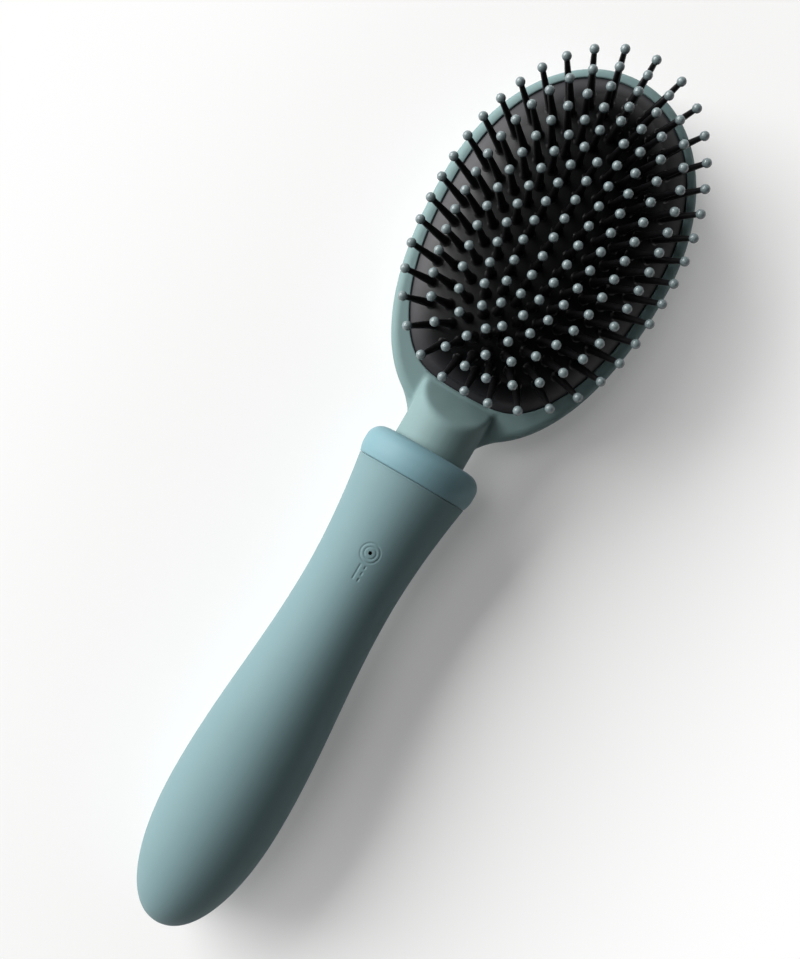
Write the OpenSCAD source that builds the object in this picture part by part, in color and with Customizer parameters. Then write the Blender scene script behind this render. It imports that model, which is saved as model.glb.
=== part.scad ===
// Rechargeable detangling brush. An oval head with an air cushion and ball-tipped pins plugs, by its neck,
// into a soft-covered handle that holds a battery, a charging socket and a small vibrating motor.
// The brush lies on its back: +Z is the way the pins point and +Y runs from the handle to the crown.
// The origin is the middle of the flat land on the back of the head, on the head's widest line.

/* [Head] */
// Half width of the head on its widest line
head_half_w = 32; // [31:0.1:34]
// From the widest line forward to the crown
head_front = 44.4; // [43:0.1:48]
// From the widest line back to where the oval would close, inside the neck
head_tail = 56.4; // [54:0.1:60]
// Height of the widest part of the shell above the surface it lies on
head_belly_z = 12.6; // [11:0.1:13]
// Height of the flat top of the rim
rim_z = 15; // [14.6:0.1:16]
// How far the rounded outer edge of the rim comes in
rim_round = 2.3; // [1.6:0.1:2.8]
// Width of the rim beside the cushion
rim_w = 3.15; // [3:0.05:4]
// Width of the rim at the crown
rim_crown_w = 3; // [2.5:0.05:4]
// Half width of the flat land on the back
land_half_w = 14; // [10:0.5:18]
// Thickness of the shell under the air cushion
floor_t = 2.8; // [2:0.1:3.6]

/* [Neck] */
// Diameter of the neck
neck_d = 19.4; // [18.6:0.1:20.4]
// Bare neck between the collar and the end of the head's oval
neck_bare = 6.75; // [5:0.05:12]
// Radius of the fillet in the corner between neck and head
neck_fillet = 3.4; // [2.5:0.1:4]
// How far past the end of the oval the ramp starts
ramp_start = 1.4; // [1:0.1:2.5]
// From the end of the oval to the foot of the ramp, at the straight edge of the cushion
ramp_run = 9.4; // [9:0.1:11]

/* [Cushion] */
// How far the cushion's edge sits below the rim
cushion_sink = 0.5; // [0.2:0.1:0.8]
// Rise of the dome above the cushion's edge
cushion_rise = 7.65; // [6:0.05:8.5]
// Thickness of the rubber
cushion_t = 1.4; // [1.2:0.1:1.8]
// Depth of the bead that the rim holds
bead_h = 2.5; // [2:0.1:3]
// Width of the bead and of the ledge under it
bead_w = 1.6; // [1.2:0.1:2]

/* [Pins] */
// Length of a pin from the rubber to the middle of its ball
pin_len = 15; // [12:0.1:17]
// Diameter of the ball tips
ball_d = 2.4; // [2:0.1:2.6]
// Diameter of a pin at the rubber
pin_root_d = 2.3; // [1.9:0.1:2.5]
// Diameter of a pin under its ball
pin_top_d = 1.4; // [1.2:0.1:1.6]
// From the cushion's edge to the outer ring of pins, at the sides
ring_inset = 5.56; // [5:0.02:6]
// Half width of the strip that the middle row stands on
strip_half_w = 1.14; // [0.9:0.02:1.6]
// Pins in the five rings, from the outside in
ring_counts = [38, 37, 32, 27, 22];
// Pins in the middle row
row_count = 8; // [6:1:8]
// Distance between the pins of the middle row
row_pitch = 5.06; // [4.5:0.01:5.3]

/* [Grip] */
// Length of the soft grip from its round end to the collar
grip_len = 126.7; // [126:0.1:140]
// How far the thickest place of the grip stays inside the line of the collar
belly_step = 0.25; // [0:0.05:0.6]
// How far the grip steps in from the collar where they meet
mouth_step = 0.7; // [0.4:0.05:1]
// Diameter of the waist
waist_d = 24.1; // [24:0.1:26]
// From the round end to the thickest place
belly_from_tip = 36.5; // [35:0.5:40]
// From the collar to the waist
waist_from_mouth = 31.45; // [29:0.05:33]
// Thickness of the silicone
sleeve_t = 1.6; // [1.2:0.1:1.7]
// Fullness of the round end: 2 is an ellipse and more is squarer
tip_fullness = 2.2; // [2:0.1:2.6]
// How late the flare under the collar opens: 1 is a cone and more opens later
flare_lateness = 1.8; // [1.4:0.1:2.4]

/* [Collar] */
// Diameter of the collar, the thickest place of the handle
collar_d = 31.2; // [31:0.1:33]
// Height of the collar
collar_h = 8.4; // [8.4:0.1:11]
// Radius of the collar's top edge
collar_round = 4; // [2:0.1:4.4]
// How far the neck stands down into the collar
neck_sink = 3.7; // [3:0.1:4]
// Floor under the neck inside the collar
collar_floor = 1.6; // [1.2:0.1:2]

/* [Plug] */
// Diameter of the plug under the neck
plug_d = 12.8; // [12:0.1:13]
// Length of the plug
plug_len = 17; // [15:0.5:17]
// Diameter of the plug's shank in the neck
shank_d = 10.3; // [9:0.1:10.6]
// Length of the shank
shank_len = 11; // [8:0.5:11.5]
// Wall of the socket tube
socket_t = 1.7; // [1.4:0.1:1.9]

/* [Core] */
// Wall of the hard core under the silicone
core_t = 1.8; // [1.4:0.1:1.9]
// Thickness of the ribs inside the core
rib_t = 1.2; // [1:0.1:2]
// Diameter of the screw shanks
screw_d = 2; // [1.6:0.1:2.2]
// Diameter of the screw bosses
boss_d = 4.4; // [4:0.1:4.6]
// Diameter of the battery
battery_d = 14; // [13:0.1:14.2]
// Length of the circuit board
board_len = 14.8; // [14:0.1:16]

/* [Motor] */
// Diameter of the motor
motor_d = 15.5; // [14:0.1:16]
// Length of the motor's can
motor_len = 19; // [17:0.5:19.5]
// From the thickest place of the grip forward to the motor's back end
motor_ahead = 8.3; // [7:0.1:9]
// Diameter of the motor's shaft
shaft_d = 2; // [1.5:0.1:2.4]
// Radius of the eccentric weight
weight_r = 6; // [5:0.1:6.5]
// Length of the eccentric weight
weight_len = 7.5; // [6:0.1:7.5]
// Thickness of the rubber boot round the motor
boot_t = 1.85; // [1.5:0.05:2.2]

/* [Socket and button] */
// From the collar to the charging port
port_from_mouth = 20.2; // [20:0.1:21]
// Diameter of the pin hole of the charging socket
pin_hole_d = 1.4; // [1:0.1:1.6]
// Depth of the pin hole in the charging socket
pin_hole_depth = 9; // [7:0.1:9]
// Diameter of the outer ring groove round the port
port_ring_d = 5.5; // [5.2:0.1:6.5]
// Diameter of the inner ring groove round the port
port_inner_ring_d = 3.2; // [3:0.1:3.8]
// Diameter of the power button
button_d = 7.6; // [7:0.1:8]
// How far the button travels
button_travel = 0.8; // [0.5:0.1:0.9]
// How far the button stands out of the silicone
button_proud = 0.6; // [0.3:0.1:0.9]

/* [Hidden] */

// Clearances
fit = 0.05;
slip = 0.1;
soft_gap = 0.3;
seam = 0.1;
over = 1;

// Colours
sage = [0.59, 0.7, 0.695];
sleeve_green = [0.54, 0.655, 0.665];
collar_blue = [0.55, 0.69, 0.73];
rubber_black = [0.06, 0.06, 0.07];
tip_green = [0.59, 0.69, 0.67];
core_grey = [0.8, 0.8, 0.78];
steel = [0.72, 0.73, 0.75];
copper = [0.75, 0.42, 0.25];

// The long axis
collar_r = collar_d / 2;
axis_z = collar_r;
belly_r = collar_r - belly_step;
mouth_r = collar_r - mouth_step;
waist_r = waist_d / 2;
neck_r = neck_d / 2;
collar_top_y = -(head_tail + neck_bare);
mouth_y = collar_top_y - collar_h;
tip_y = mouth_y - grip_len;
belly_y = tip_y + belly_from_tip;
waist_y = mouth_y - waist_from_mouth;
port_y = mouth_y - port_from_mouth;

// The cushion's edge and the rings of pins: each ring is an oval of its own
edge_half_w = head_half_w - rim_w;
edge_front = head_front - rim_crown_w;
edge_clip = head_tail - ramp_run;
edge_tail = edge_clip * 1.049;
edge_z = rim_z - cushion_sink;
seat_z = edge_z - bead_h;
ring_count = len(ring_counts);
ring_half_w = edge_half_w - ring_inset;
ring_step = (ring_half_w - strip_half_w) / ring_count;
ring_front_gap = ring_inset * 0.775;
ring_tail_gap = ring_inset * 1.262;
ring_front_step = ring_step * 0.679;
ring_tail_step = ring_step * 0.591;
ring_shift = ring_step * 0.3765;
edge_fullness = 2.13;
edge_tail_fullness = 2.25;
ring_fullness = 1.98;
ring_tail_fullness = 2.69;
ring_fullness_step = 0.04;
ring_tail_fullness_step = -0.28;
least_tail_fullness = 1.5;
corner_sharpness = 24;
clip_fade = 3;
dome_power = 3.15;
no_clip_share = 2;
head_fullness = 2.05;
head_tail_fullness = 2.25;
outline_points = 96;
band_points = 48;
crown_ring = ring_count + 1;
skirt_ring = 0.5;
row_front_share = 0.758;
arc_step = 3;

// Neck, plug and socket
neck_end_y = collar_top_y - neck_sink;
plug_end_y = neck_end_y - plug_len;
plug_r = plug_d / 2;
shank_r = shank_d / 2;
plug_chamfer = plug_r * 0.12;
key_w = plug_r * 0.25;
key_h = socket_t * 0.45;
ring_section_r = plug_r * 0.105;
ring_groove_y = (neck_end_y + plug_end_y) / 2;
floor_y = neck_end_y - slip - collar_floor;
socket_r = plug_r + slip + socket_t;
socket_end_y = plug_end_y - soft_gap - socket_t;
flange_t = socket_t * 0.9;
collar_bore_r = mouth_r * 0.83;
tail_wall = core_t * 0.83;
flange_r = collar_bore_r - fit - tail_wall - fit;
ledge_y = floor_y - fit - flange_t - fit;

// Core and what it holds, from the round end towards the collar
core_out = sleeve_t + fit;
core_in = core_out + core_t;
motor_r = motor_d / 2;
shaft_r = shaft_d / 2;
battery_r = battery_d / 2;
boss_r = boss_d / 2;
screw_r = screw_d / 2;
screw_head_r = screw_r * 1.9;
screw_head_h = screw_r * 1.4;
screw_bite = screw_r * 5;
board_t = 1;
board_top = axis_z - board_t / 2;
board_bottom = board_top - board_t;
board_gap = boss_d * 0.14;
board_front_y = socket_end_y - board_gap;
board_back_y = board_front_y - board_len;
waist_boss_y = board_back_y - board_gap - boss_r;
cap_end_y = belly_y + motor_ahead;
belly_boss_y = cap_end_y + slip + boss_r;
battery_front_y = waist_boss_y - boss_r - slip;
battery_back_y = belly_boss_y + boss_r + slip;
cap_t = motor_r * 0.28;
can_back_y = cap_end_y - cap_t;
can_front_y = can_back_y - motor_len;
can_t = motor_r * 0.1;
boot_len = motor_len * 0.74;
boot_y = (can_front_y + can_back_y - boot_len) / 2;
boot_r = motor_r + boot_t;
weight_gap = shaft_r * 1.4;
weight_y = can_front_y - weight_gap - weight_len;
shaft_end_y = weight_y - shaft_r / 2;
belly_boss_x = belly_r * 0.36;
waist_boss_x = waist_r * 0.38;
lead_x = battery_r * 0.17;
lead_r = battery_r * 0.065;

// Charging socket, switch and button
pin_hole_r = pin_hole_d / 2;
nose_r = pin_hole_r * 3.1;
port_body_r = nose_r * 1.42;
groove_depth = sleeve_t * 0.15;
groove_w = port_ring_d * 0.065;
button_r = button_d / 2;
button_flange_r = button_r * 1.29;
button_flange_t = button_r * 0.24;
switch_w = button_r * 1.58;
switch_h = button_r * 0.9;
stem_r = button_r * 0.45;
stem_bore = stem_r + slip;

// Functions

// Radius of the grip, t under its surface, at a place along the handle
function grip_r(y, t = 0) =
    y < belly_y
    ? (belly_r - t) * pow(max(0, 1 - pow((belly_y - y) / (belly_from_tip - t), tip_fullness)), 1 / tip_fullness)
    : y < waist_y
    ? belly_r - t - (belly_r - waist_r) * (1 - cos(180 * (y - belly_y) / (waist_y - belly_y))) / 2
    : waist_r - t + (mouth_r - waist_r) * pow((y - waist_y) / waist_from_mouth, flare_lateness);

// Outline of the grip, t under its surface, from the round end to end_y
function grip_outline(t, end_y) = concat(
    [for (a = [90:-7.5:0]) let (y = belly_y - (belly_from_tip - t) * sin(a)) [a == 90 ? 0 : grip_r(y, t), y]],
    [for (i = [1:20]) let (y = belly_y + (waist_y - belly_y) * i / 20) [grip_r(y, t), y]],
    [for (i = [1:12]) let (y = waist_y + (end_y - waist_y) * i / 12) [grip_r(y, t), y]],
    [[0, end_y]]
);

// Distance from the middle of an oval to its outline, phi degrees from the crown.
// w, front and tail are its half axes and clip is where its lower edge is cut straight.
function oval_r(phi, w, front, tail, full, tail_full, clip) =
    let (
        ahead = cos(phi) >= 0,
        p = ahead ? full : tail_full,
        reach = ahead ? front : tail,
        near = pow(pow(abs(sin(phi)) / w, p) + pow(abs(cos(phi)) / reach, p), 1 / p),
        cut = ahead ? 0 : -cos(phi) / clip
    )
    pow(pow(near, corner_sharpness) + pow(cut, corner_sharpness), -1 / corner_sharpness);

function mix(a, b, share) = a + (b - a) * share;

// The family of ovals that the cushion is made of: 0 is its edge and 1 to 5 are the rings of pins
function ring_w(u) = u < 1 ? mix(edge_half_w, ring_half_w, u) : ring_half_w - ring_step * (u - 1);
function ring_mid(u) = -ring_shift * u;
function ring_front(u) =
    (u < 1
    ? mix(edge_front, edge_front - ring_front_gap, u)
    : edge_front - ring_front_gap - ring_front_step * (u - 1))
    - ring_mid(u);
function ring_tail(u) =
    (u < 1
    ? mix(edge_tail, edge_clip - ring_tail_gap, u)
    : edge_clip - ring_tail_gap - ring_tail_step * (u - 1))
    + ring_mid(u);
function ring_full(u) =
    u < 1 ? mix(edge_fullness, ring_fullness, u) : ring_fullness + ring_fullness_step * (u - 1);
function ring_tail_full(u) =
    u < 1 ? mix(edge_tail_fullness, ring_tail_fullness, u)
    : max(least_tail_fullness, ring_tail_fullness + ring_tail_fullness_step * (u - 1));
function ring_clip(u) = ring_tail(u) * mix(edge_clip / edge_tail, no_clip_share, pow(min(u, 1), clip_fade));
function dome_z(u) = edge_z + cushion_rise * (1 - pow(ring_w(u) / edge_half_w, dome_power));
function ring_lean(u) =
    atan(cushion_rise * dome_power * pow(ring_w(u) / edge_half_w, dome_power - 1) / edge_half_w);

// A point of ring u, grown or shrunk by inset, phi degrees from the crown
function ring_point(u, phi, inset = 0) =
    let (r = oval_r(phi, ring_w(u) - inset, ring_front(u) - inset, ring_tail(u) - inset,
        ring_full(u), ring_tail_full(u), ring_clip(u) - inset))
    [r * sin(phi), ring_mid(u) + r * cos(phi)];
function ring_section(u, z, inset = 0, n = band_points) =
    [for (i = [0:n - 1]) let (p = ring_point(u, 360 * i / n, inset)) [p[0], p[1], z]];

// A point of the head's own outline, scaled about the origin and then drawn in by inset
function head_section(scale_share, z, inset = 0) =
    [for (i = [0:outline_points - 1])
        let (
            phi = 360 * i / outline_points,
            r = oval_r(phi, head_half_w * scale_share - inset, head_front * scale_share - inset,
                head_tail * scale_share - inset, head_fullness, head_tail_fullness, head_tail * no_clip_share)
        )
        [r * sin(phi), r * cos(phi), z]];

// Pairs of distance along ring u and angle, down one side from the crown
function ring_chord(u, phi) = norm(ring_point(u, phi + arc_step) - ring_point(u, phi));
function ring_arc(u) =
    [for (a = 0, s = 0; a <= 180; s = s + ring_chord(u, a), a = a + arc_step) [s, a]];

// Angles of n pins spaced evenly along ring u, the first at the crown
function pin_angles(u, n) =
    let (arc = ring_arc(u), half = arc[len(arc) - 1][0])
    [for (j = [0:n - 1])
        let (s = 2 * half * j / n)
        s <= half ? lookup(s, arc) : -lookup(2 * half - s, arc)];

// Heading, seen from above, in which a pin of ring u leans
function lean_heading(u, phi) =
    let (d = ring_point(u, phi + 1) - ring_point(u, phi - 1))
    atan2(d[0], -d[1]);

// Places of the pins in the middle row
function row_places() =
    let (front = ring_mid(crown_ring) + ring_front(crown_ring) * row_front_share)
    [for (j = [0:row_count - 1]) [0, front - row_pitch * j]];

function unit(v) = v / norm(v);

// Shapes

// Turns a profile's Z axis to lie along the handle
module along_handle() {
    translate([0, 0, axis_z])
        rotate([-90, 0, 0])
            children();
}

module revolve(points) {
    along_handle()
        rotate_extrude($fn = 96)
            polygon(points);
}

// A round bar along the handle
module bar(r, from_y, to_y) {
    along_handle()
        translate([0, 0, from_y])
            cylinder(r = r, h = to_y - from_y, $fn = 64);
}

// A round post along Z
module post(r, place, from_z, to_z) {
    translate([place[0], place[1], from_z])
        cylinder(r = r, h = to_z - from_z, $fn = 48);
}

module block(low, high) {
    translate(low)
        cube(high - low);
}

module grip_solid(t, end_y) {
    revolve(grip_outline(t, end_y));
}

// Solid through a stack of sections, closed at both ends. Each runs clockwise as seen from the last one's side.
module loft(sections) {
    n = len(sections[0]);
    last = len(sections) - 1;
    points = [for (s = sections) each s];
    faces = concat(
        [[for (i = [n - 1:-1:0]) i]],
        [for (k = [0:last - 1], i = [0:n - 1]) let (j = (i + 1) % n)
            each [[k * n + i, (k + 1) * n + j, (k + 1) * n + i], [k * n + i, k * n + j, (k + 1) * n + j]]],
        [[for (i = [0:n - 1]) last * n + i]]
    );
    polyhedron(points, faces);
}

// Closed band through sections that return to the first
module band(sections) {
    n = len(sections[0]);
    m = len(sections);
    points = [for (s = sections) each s];
    faces = [for (k = [0:m - 1], i = [0:n - 1]) let (j = (i + 1) % n, next = (k + 1) % m)
        each [[k * n + i, next * n + i, next * n + j], [k * n + i, next * n + j, k * n + j]]];
    polyhedron(points, faces);
}

// A slice of the domed cushion between two ovals
module cushion_band(outer, middle, inner) {
    band([
        ring_section(outer, dome_z(outer) - cushion_t),
        ring_section(middle, dome_z(middle) - cushion_t),
        ring_section(inner, dome_z(inner) - cushion_t),
        ring_section(inner, dome_z(inner)),
        ring_section(middle, dome_z(middle)),
        ring_section(outer, dome_z(outer))
    ]);
}

// A pin and, apart from it, its ball, at a place on the dome
module pin(place, z, lean, heading) {
    sink = cushion_t / 2;
    translate([place[0], place[1], z])
        rotate([0, lean, heading])
            translate([0, 0, -sink])
                cylinder(d1 = pin_root_d, d2 = pin_top_d, h = pin_len + sink, $fn = 4);
}

module ball(place, z, lean, heading) {
    translate([place[0], place[1], z])
        rotate([0, lean, heading])
            translate([0, 0, pin_len])
                sphere(d = ball_d, $fn = 24);
}

module ring_pins(k) {
    for (phi = pin_angles(k, ring_counts[k - 1]))
        pin(ring_point(k, phi), dome_z(k), ring_lean(k), lean_heading(k, phi));
}

module ring_balls(k) {
    for (phi = pin_angles(k, ring_counts[k - 1]))
        ball(ring_point(k, phi), dome_z(k), ring_lean(k), lean_heading(k, phi));
}

// Tube of n sides along a path that keeps its X
module lead(path, n = 8) {
    last = len(path) - 1;
    loft([for (i = [0:last])
        let (
            along = unit(path[min(i + 1, last)] - path[max(i - 1, 0)]),
            up = cross([1, 0, 0], along)
        )
        [for (a = [0:n - 1]) path[i] + lead_r * (cos(360 * a / n) * [1, 0, 0] + sin(360 * a / n) * up)]]);
}

// Head

// Rounded bowl: a quarter ellipse from the flat land to the widest line, then the rounded rim
module head_bowl() {
    land_share = land_half_w / head_half_w;
    loft(concat(
        [for (a = [0:11.25:90]) head_section(mix(land_share, 1, sin(a)), head_belly_z * (1 - cos(a)))],
        [for (a = [22.5:22.5:90])
            head_section(1, head_belly_z + (rim_z - head_belly_z) * sin(a), rim_round * (1 - cos(a)))]
    ));
}

// The bead's pocket and, under its ledge, the air space
module cushion_pocket() {
    air_share = 0.45;
    loft(concat(
        [for (a = [90:-18:0])
            let (
                share = mix(air_share, 1, cos(a)),
                z = seat_z - (seat_z - floor_t) * sin(a)
            )
            [for (p = ring_section(0, z, bead_w, outline_points)) [p[0] * share, p[1] * share, z]]],
        [
            ring_section(0, seat_z, 0, outline_points),
            ring_section(0, rim_z + over, 0, outline_points)
        ]
    ));
}

module neck_stem() {
    ramp_top_y = -(head_tail - ramp_start);
    foot_y = -(head_tail - ramp_run);
    slope = (axis_z + neck_r - rim_z) / (foot_y - ramp_top_y);
    past = ramp_run;
    difference() {
        bar(neck_r, neck_end_y, foot_y + past / 2);
        translate([-neck_d, 0, 0])
            rotate([90, 0, 90])
                linear_extrude(neck_d * 2)
                    polygon([
                        [ramp_top_y, axis_z + neck_r],
                        [foot_y + past, rim_z - past * slope],
                        [foot_y + past, axis_z + neck_d],
                        [ramp_top_y, axis_z + neck_d]
                    ]);
    }
}

// Fillet that carries the neck out into the sides and the back of the head
module neck_flare() {
    reach = 60;
    start_y = -(head_tail - neck_fillet * 0.06);
    end_y = -(head_tail - ramp_run * 0.85);
    intersection() {
        revolve(concat(
            [[0, start_y]],
            [for (a = [0:7.5:reach]) [neck_r + neck_fillet * (1 - cos(a)), start_y + neck_fillet * sin(a)]],
            [[neck_r + neck_fillet * (1 - cos(reach)), end_y], [0, end_y]]
        ));
        block([-neck_d, start_y - over, 0], [neck_d, end_y + over, rim_z - cushion_sink]);
    }
}

module head_shell() {
    color(sage)
        difference() {
            union() {
                head_bowl();
                neck_stem();
                neck_flare();
            }
            cushion_pocket();
            bar(shank_r + fit, neck_end_y - over, neck_end_y + shank_len + fit);
        }
}

// Flank of the cushion, with the bead that the rim holds
module cushion_skirt() {
    bead_shoulder = 0.2;
    inner = skirt_ring - soft_gap / 2 / ring_inset;
    color(rubber_black)
        band([
            ring_section(0, seat_z),
            ring_section(0, seat_z, bead_w),
            ring_section(0, edge_z - cushion_t, bead_w),
            ring_section(inner, dome_z(inner) - cushion_t),
            ring_section(inner, dome_z(inner)),
            ring_section(bead_shoulder, dome_z(bead_shoulder)),
            ring_section(0, edge_z)
        ]);
}

module bristle_ring(k) {
    outer = k == 1 ? skirt_ring + soft_gap / 2 / ring_inset : k - 0.5;
    color(rubber_black)
        union() {
            cushion_band(outer, k, k + 0.5);
            ring_pins(k);
        }
}

module bristle_row() {
    outer = ring_count + 0.5;
    color(rubber_black)
        union() {
            loft([
                ring_section(outer, dome_z(outer) - cushion_t),
                ring_section(outer, dome_z(outer)),
                ring_section(crown_ring, dome_z(crown_ring))
            ]);
            for (p = row_places())
                pin(p, dome_z(crown_ring), 0, 0);
        }
}

module tips_ring(k) {
    color(tip_green)
        ring_balls(k);
}

module tips_row() {
    color(tip_green)
        for (p = row_places())
            ball(p, dome_z(crown_ring), 0, 0);
}

// Plug under the neck, with a key and a groove for its sealing ring
module head_spigot() {
    color(core_grey)
        difference() {
            union() {
                bar(shank_r, neck_end_y, neck_end_y + shank_len);
                revolve([
                    [0, plug_end_y],
                    [plug_r - plug_chamfer, plug_end_y],
                    [plug_r, plug_end_y + plug_chamfer],
                    [plug_r, neck_end_y],
                    [0, neck_end_y]
                ]);
                block(
                    [-key_w / 2, plug_end_y + plug_len / 2 + ring_section_r * 2, axis_z],
                    [key_w / 2, neck_end_y, axis_z + plug_r + key_h]
                );
            }
            along_handle()
                rotate_extrude($fn = 96)
                    translate([plug_r - ring_section_r * 2, ring_groove_y - ring_section_r * 1.1])
                        square([ring_section_r * 3, ring_section_r * 2.2]);
        }
}

module spigot_o_ring() {
    color(rubber_black)
        along_handle()
            translate([0, 0, ring_groove_y])
                rotate_extrude($fn = 96)
                    translate([plug_r - ring_section_r, 0])
                        circle(r = ring_section_r, $fn = 24);
}

// Handle

// Ring that is cut into the silicone round the port
module port_groove(d) {
    difference() {
        post((d + groove_w) / 2, [0, port_y], axis_z, axis_z + belly_r);
        post((d - groove_w) / 2, [0, port_y], axis_z - over, axis_z + belly_r + over);
        grip_solid(groove_depth, mouth_y - seam);
    }
}

// Raised lip round the button
module button_lip() {
    rim = button_r + slip * 2;
    lip_h = sleeve_t * 0.24;
    lip_w = button_r * 0.18;
    intersection() {
        difference() {
            post(rim + lip_w, [0, port_y], axis_z - belly_r, axis_z);
            post(rim, [0, port_y], axis_z - belly_r - over, axis_z + over);
        }
        grip_solid(-lip_h, mouth_y - seam);
    }
}

// Silicone sock, with a pin hole and two ring grooves at the port and an opening for the button
module grip_sleeve() {
    color(sleeve_green)
        difference() {
            union() {
                grip_solid(0, mouth_y - seam);
                button_lip();
            }
            grip_solid(sleeve_t, mouth_y + over);
            port_groove(port_ring_d);
            port_groove(port_inner_ring_d);
            post(pin_hole_r + fit, [0, port_y], axis_z, axis_z + belly_r + over);
            post(button_r + slip * 2, [0, port_y], axis_z - belly_r - over, axis_z);
        }
}

module collar() {
    key_slot = key_w + slip * 2;
    color(collar_blue)
        difference() {
            revolve(concat(
                [[0, mouth_y], [mouth_r + mouth_step * 0.18, mouth_y], [collar_r, mouth_y + collar_h / 3]],
                [for (a = [0:15:90])
                    [collar_r - collar_round * (1 - cos(a)), collar_top_y - collar_round * (1 - sin(a))]],
                [[0, collar_top_y]]
            ));
            bar(neck_r + slip, neck_end_y - slip, collar_top_y + over);
            bar(plug_r + slip, mouth_y - over, collar_top_y);
            bar(collar_bore_r, mouth_y - over, floor_y);
            block([-key_slot / 2, mouth_y, axis_z], [key_slot / 2, neck_end_y, axis_z + plug_r + key_h + slip]);
        }
}

// Hard core, as a solid, and the space inside it
module core_solid() {
    union() {
        grip_solid(core_out, mouth_y);
        bar(collar_bore_r - fit, mouth_y - over, floor_y - fit);
    }
}

module core_space() {
    union() {
        grip_solid(core_in, ledge_y - flange_t);
        bar(socket_r + fit, ledge_y - flange_t - over, ledge_y + over);
        bar(flange_r + fit, ledge_y, floor_y);
        bar(boot_r + fit, boot_y - fit, boot_y + boot_len + fit);
    }
}

// Ribs, bosses and rails that stay standing inside the core
module rib(y, hole_r) {
    difference() {
        bar(belly_r, y - rib_t / 2, y + rib_t / 2);
        bar(hole_r, y - rib_t, y + rib_t);
    }
}

module core_ribs() {
    for (share = [0.2, 0.8]) {
        rib(mix(boot_y, boot_y + boot_len, share), boot_r + fit);
        rib(mix(battery_back_y, battery_front_y, share), battery_r + fit);
    }
}

module at_bosses() {
    for (side = [-1, 1]) {
        translate([side * belly_boss_x, belly_boss_y, axis_z])
            children();
        translate([side * waist_boss_x, waist_boss_y, axis_z])
            children();
    }
}

// Depth under the long axis of the seat of a screw at x, y
function screw_seat(x, y) = sqrt(pow(grip_r(y, core_out), 2) - pow(x + screw_head_r, 2)) - screw_head_h - fit;

module core_front() {
    color(core_grey)
        difference() {
            intersection() {
                core_solid();
                block([-collar_d, tip_y, axis_z], [collar_d, floor_y, axis_z + collar_d]);
            }
            difference() {
                core_space();
                difference() {
                    union() {
                        core_ribs();
                        at_bosses()
                            cylinder(r = boss_r, h = belly_r, $fn = 32);
                    }
                    block([-lead_x * 2, cap_end_y, axis_z + battery_r * 0.9],
                        [lead_x * 2, battery_front_y, axis_z + belly_r]);
                }
            }
            at_bosses()
                translate([0, 0, -over])
                    cylinder(r = screw_r + fit, h = over + screw_bite + fit, $fn = 32);
            post(nose_r + slip, [0, port_y], axis_z, axis_z + belly_r);
        }
}

module screw_cut(x, y) {
    post(screw_r + fit, [x, y], axis_z - belly_r, axis_z + over);
    post(screw_head_r + slip, [x, y], axis_z - belly_r, axis_z - screw_seat(abs(x), y));
}

module core_back() {
    rail_x = waist_r * 0.56;
    color(core_grey)
        difference() {
            intersection() {
                core_solid();
                block([-collar_d, tip_y, axis_z - collar_d], [collar_d, floor_y, axis_z]);
            }
            difference() {
                core_space();
                core_ribs();
                at_bosses()
                    translate([0, 0, -belly_r])
                        cylinder(r = boss_r, h = belly_r, $fn = 32);
                for (side = [0, 1])
                    mirror([side, 0, 0])
                        block([rail_x, board_back_y + board_gap, axis_z - waist_r],
                            [waist_r, board_front_y - board_gap, board_bottom]);
            }
            for (side = [-1, 1]) {
                screw_cut(side * belly_boss_x, belly_boss_y);
                screw_cut(side * waist_boss_x, waist_boss_y);
            }
            post(button_r + slip, [0, port_y], axis_z - belly_r, axis_z);
        }
}

module screw(x, y) {
    seat = screw_seat(abs(x), y);
    difference() {
        union() {
            post(screw_r, [x, y], axis_z - seat, axis_z + screw_bite);
            post(screw_head_r, [x, y], axis_z - seat - screw_head_h, axis_z - seat);
        }
        for (turn = [0, 90])
            translate([x, y, axis_z - seat - screw_head_h])
                rotate([0, 0, turn])
                    cube([screw_head_r * 1.2, screw_r * 0.4, screw_head_h], center = true);
    }
}

module core_screws() {
    color(steel)
        for (side = [-1, 1]) {
            screw(side * belly_boss_x, belly_boss_y);
            screw(side * waist_boss_x, waist_boss_y);
        }
}

// Blind tube that the plug slides into
module socket_tube() {
    key_slot = key_w + slip * 2;
    color(core_grey)
        difference() {
            union() {
                bar(socket_r, socket_end_y, floor_y - fit);
                bar(flange_r, ledge_y + fit, floor_y - fit);
            }
            bar(plug_r + slip, socket_end_y + socket_t, floor_y);
            block([-key_slot / 2, plug_end_y, axis_z], [key_slot / 2, floor_y, axis_z + plug_r + key_h + slip]);
        }
}

module battery() {
    button_end = battery_r * 0.1;
    color([0.2, 0.45, 0.3])
        revolve([
            [0, battery_back_y],
            [battery_r - button_end, battery_back_y],
            [battery_r, battery_back_y + button_end],
            [battery_r, battery_front_y - button_end],
            [battery_r - button_end, battery_front_y],
            [0, battery_front_y]
        ]);
}

module battery_leads() {
    low_z = axis_z - battery_r * 0.45;
    end_y = board_back_y + board_gap;
    color([0.7, 0.1, 0.1])
        for (side = [-1, 1])
            lead([for (p = [
                    [battery_front_y, low_z],
                    [mix(battery_front_y, end_y, 0.35), low_z],
                    [mix(battery_front_y, end_y, 0.7), low_z],
                    [mix(battery_front_y, end_y, 0.93), mix(low_z, board_bottom, 0.3)],
                    [end_y + lead_r, board_bottom - lead_r],
                    [end_y + lead_r, board_bottom]
                ]) [side * lead_x, p[0], p[1]]]);
}

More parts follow.
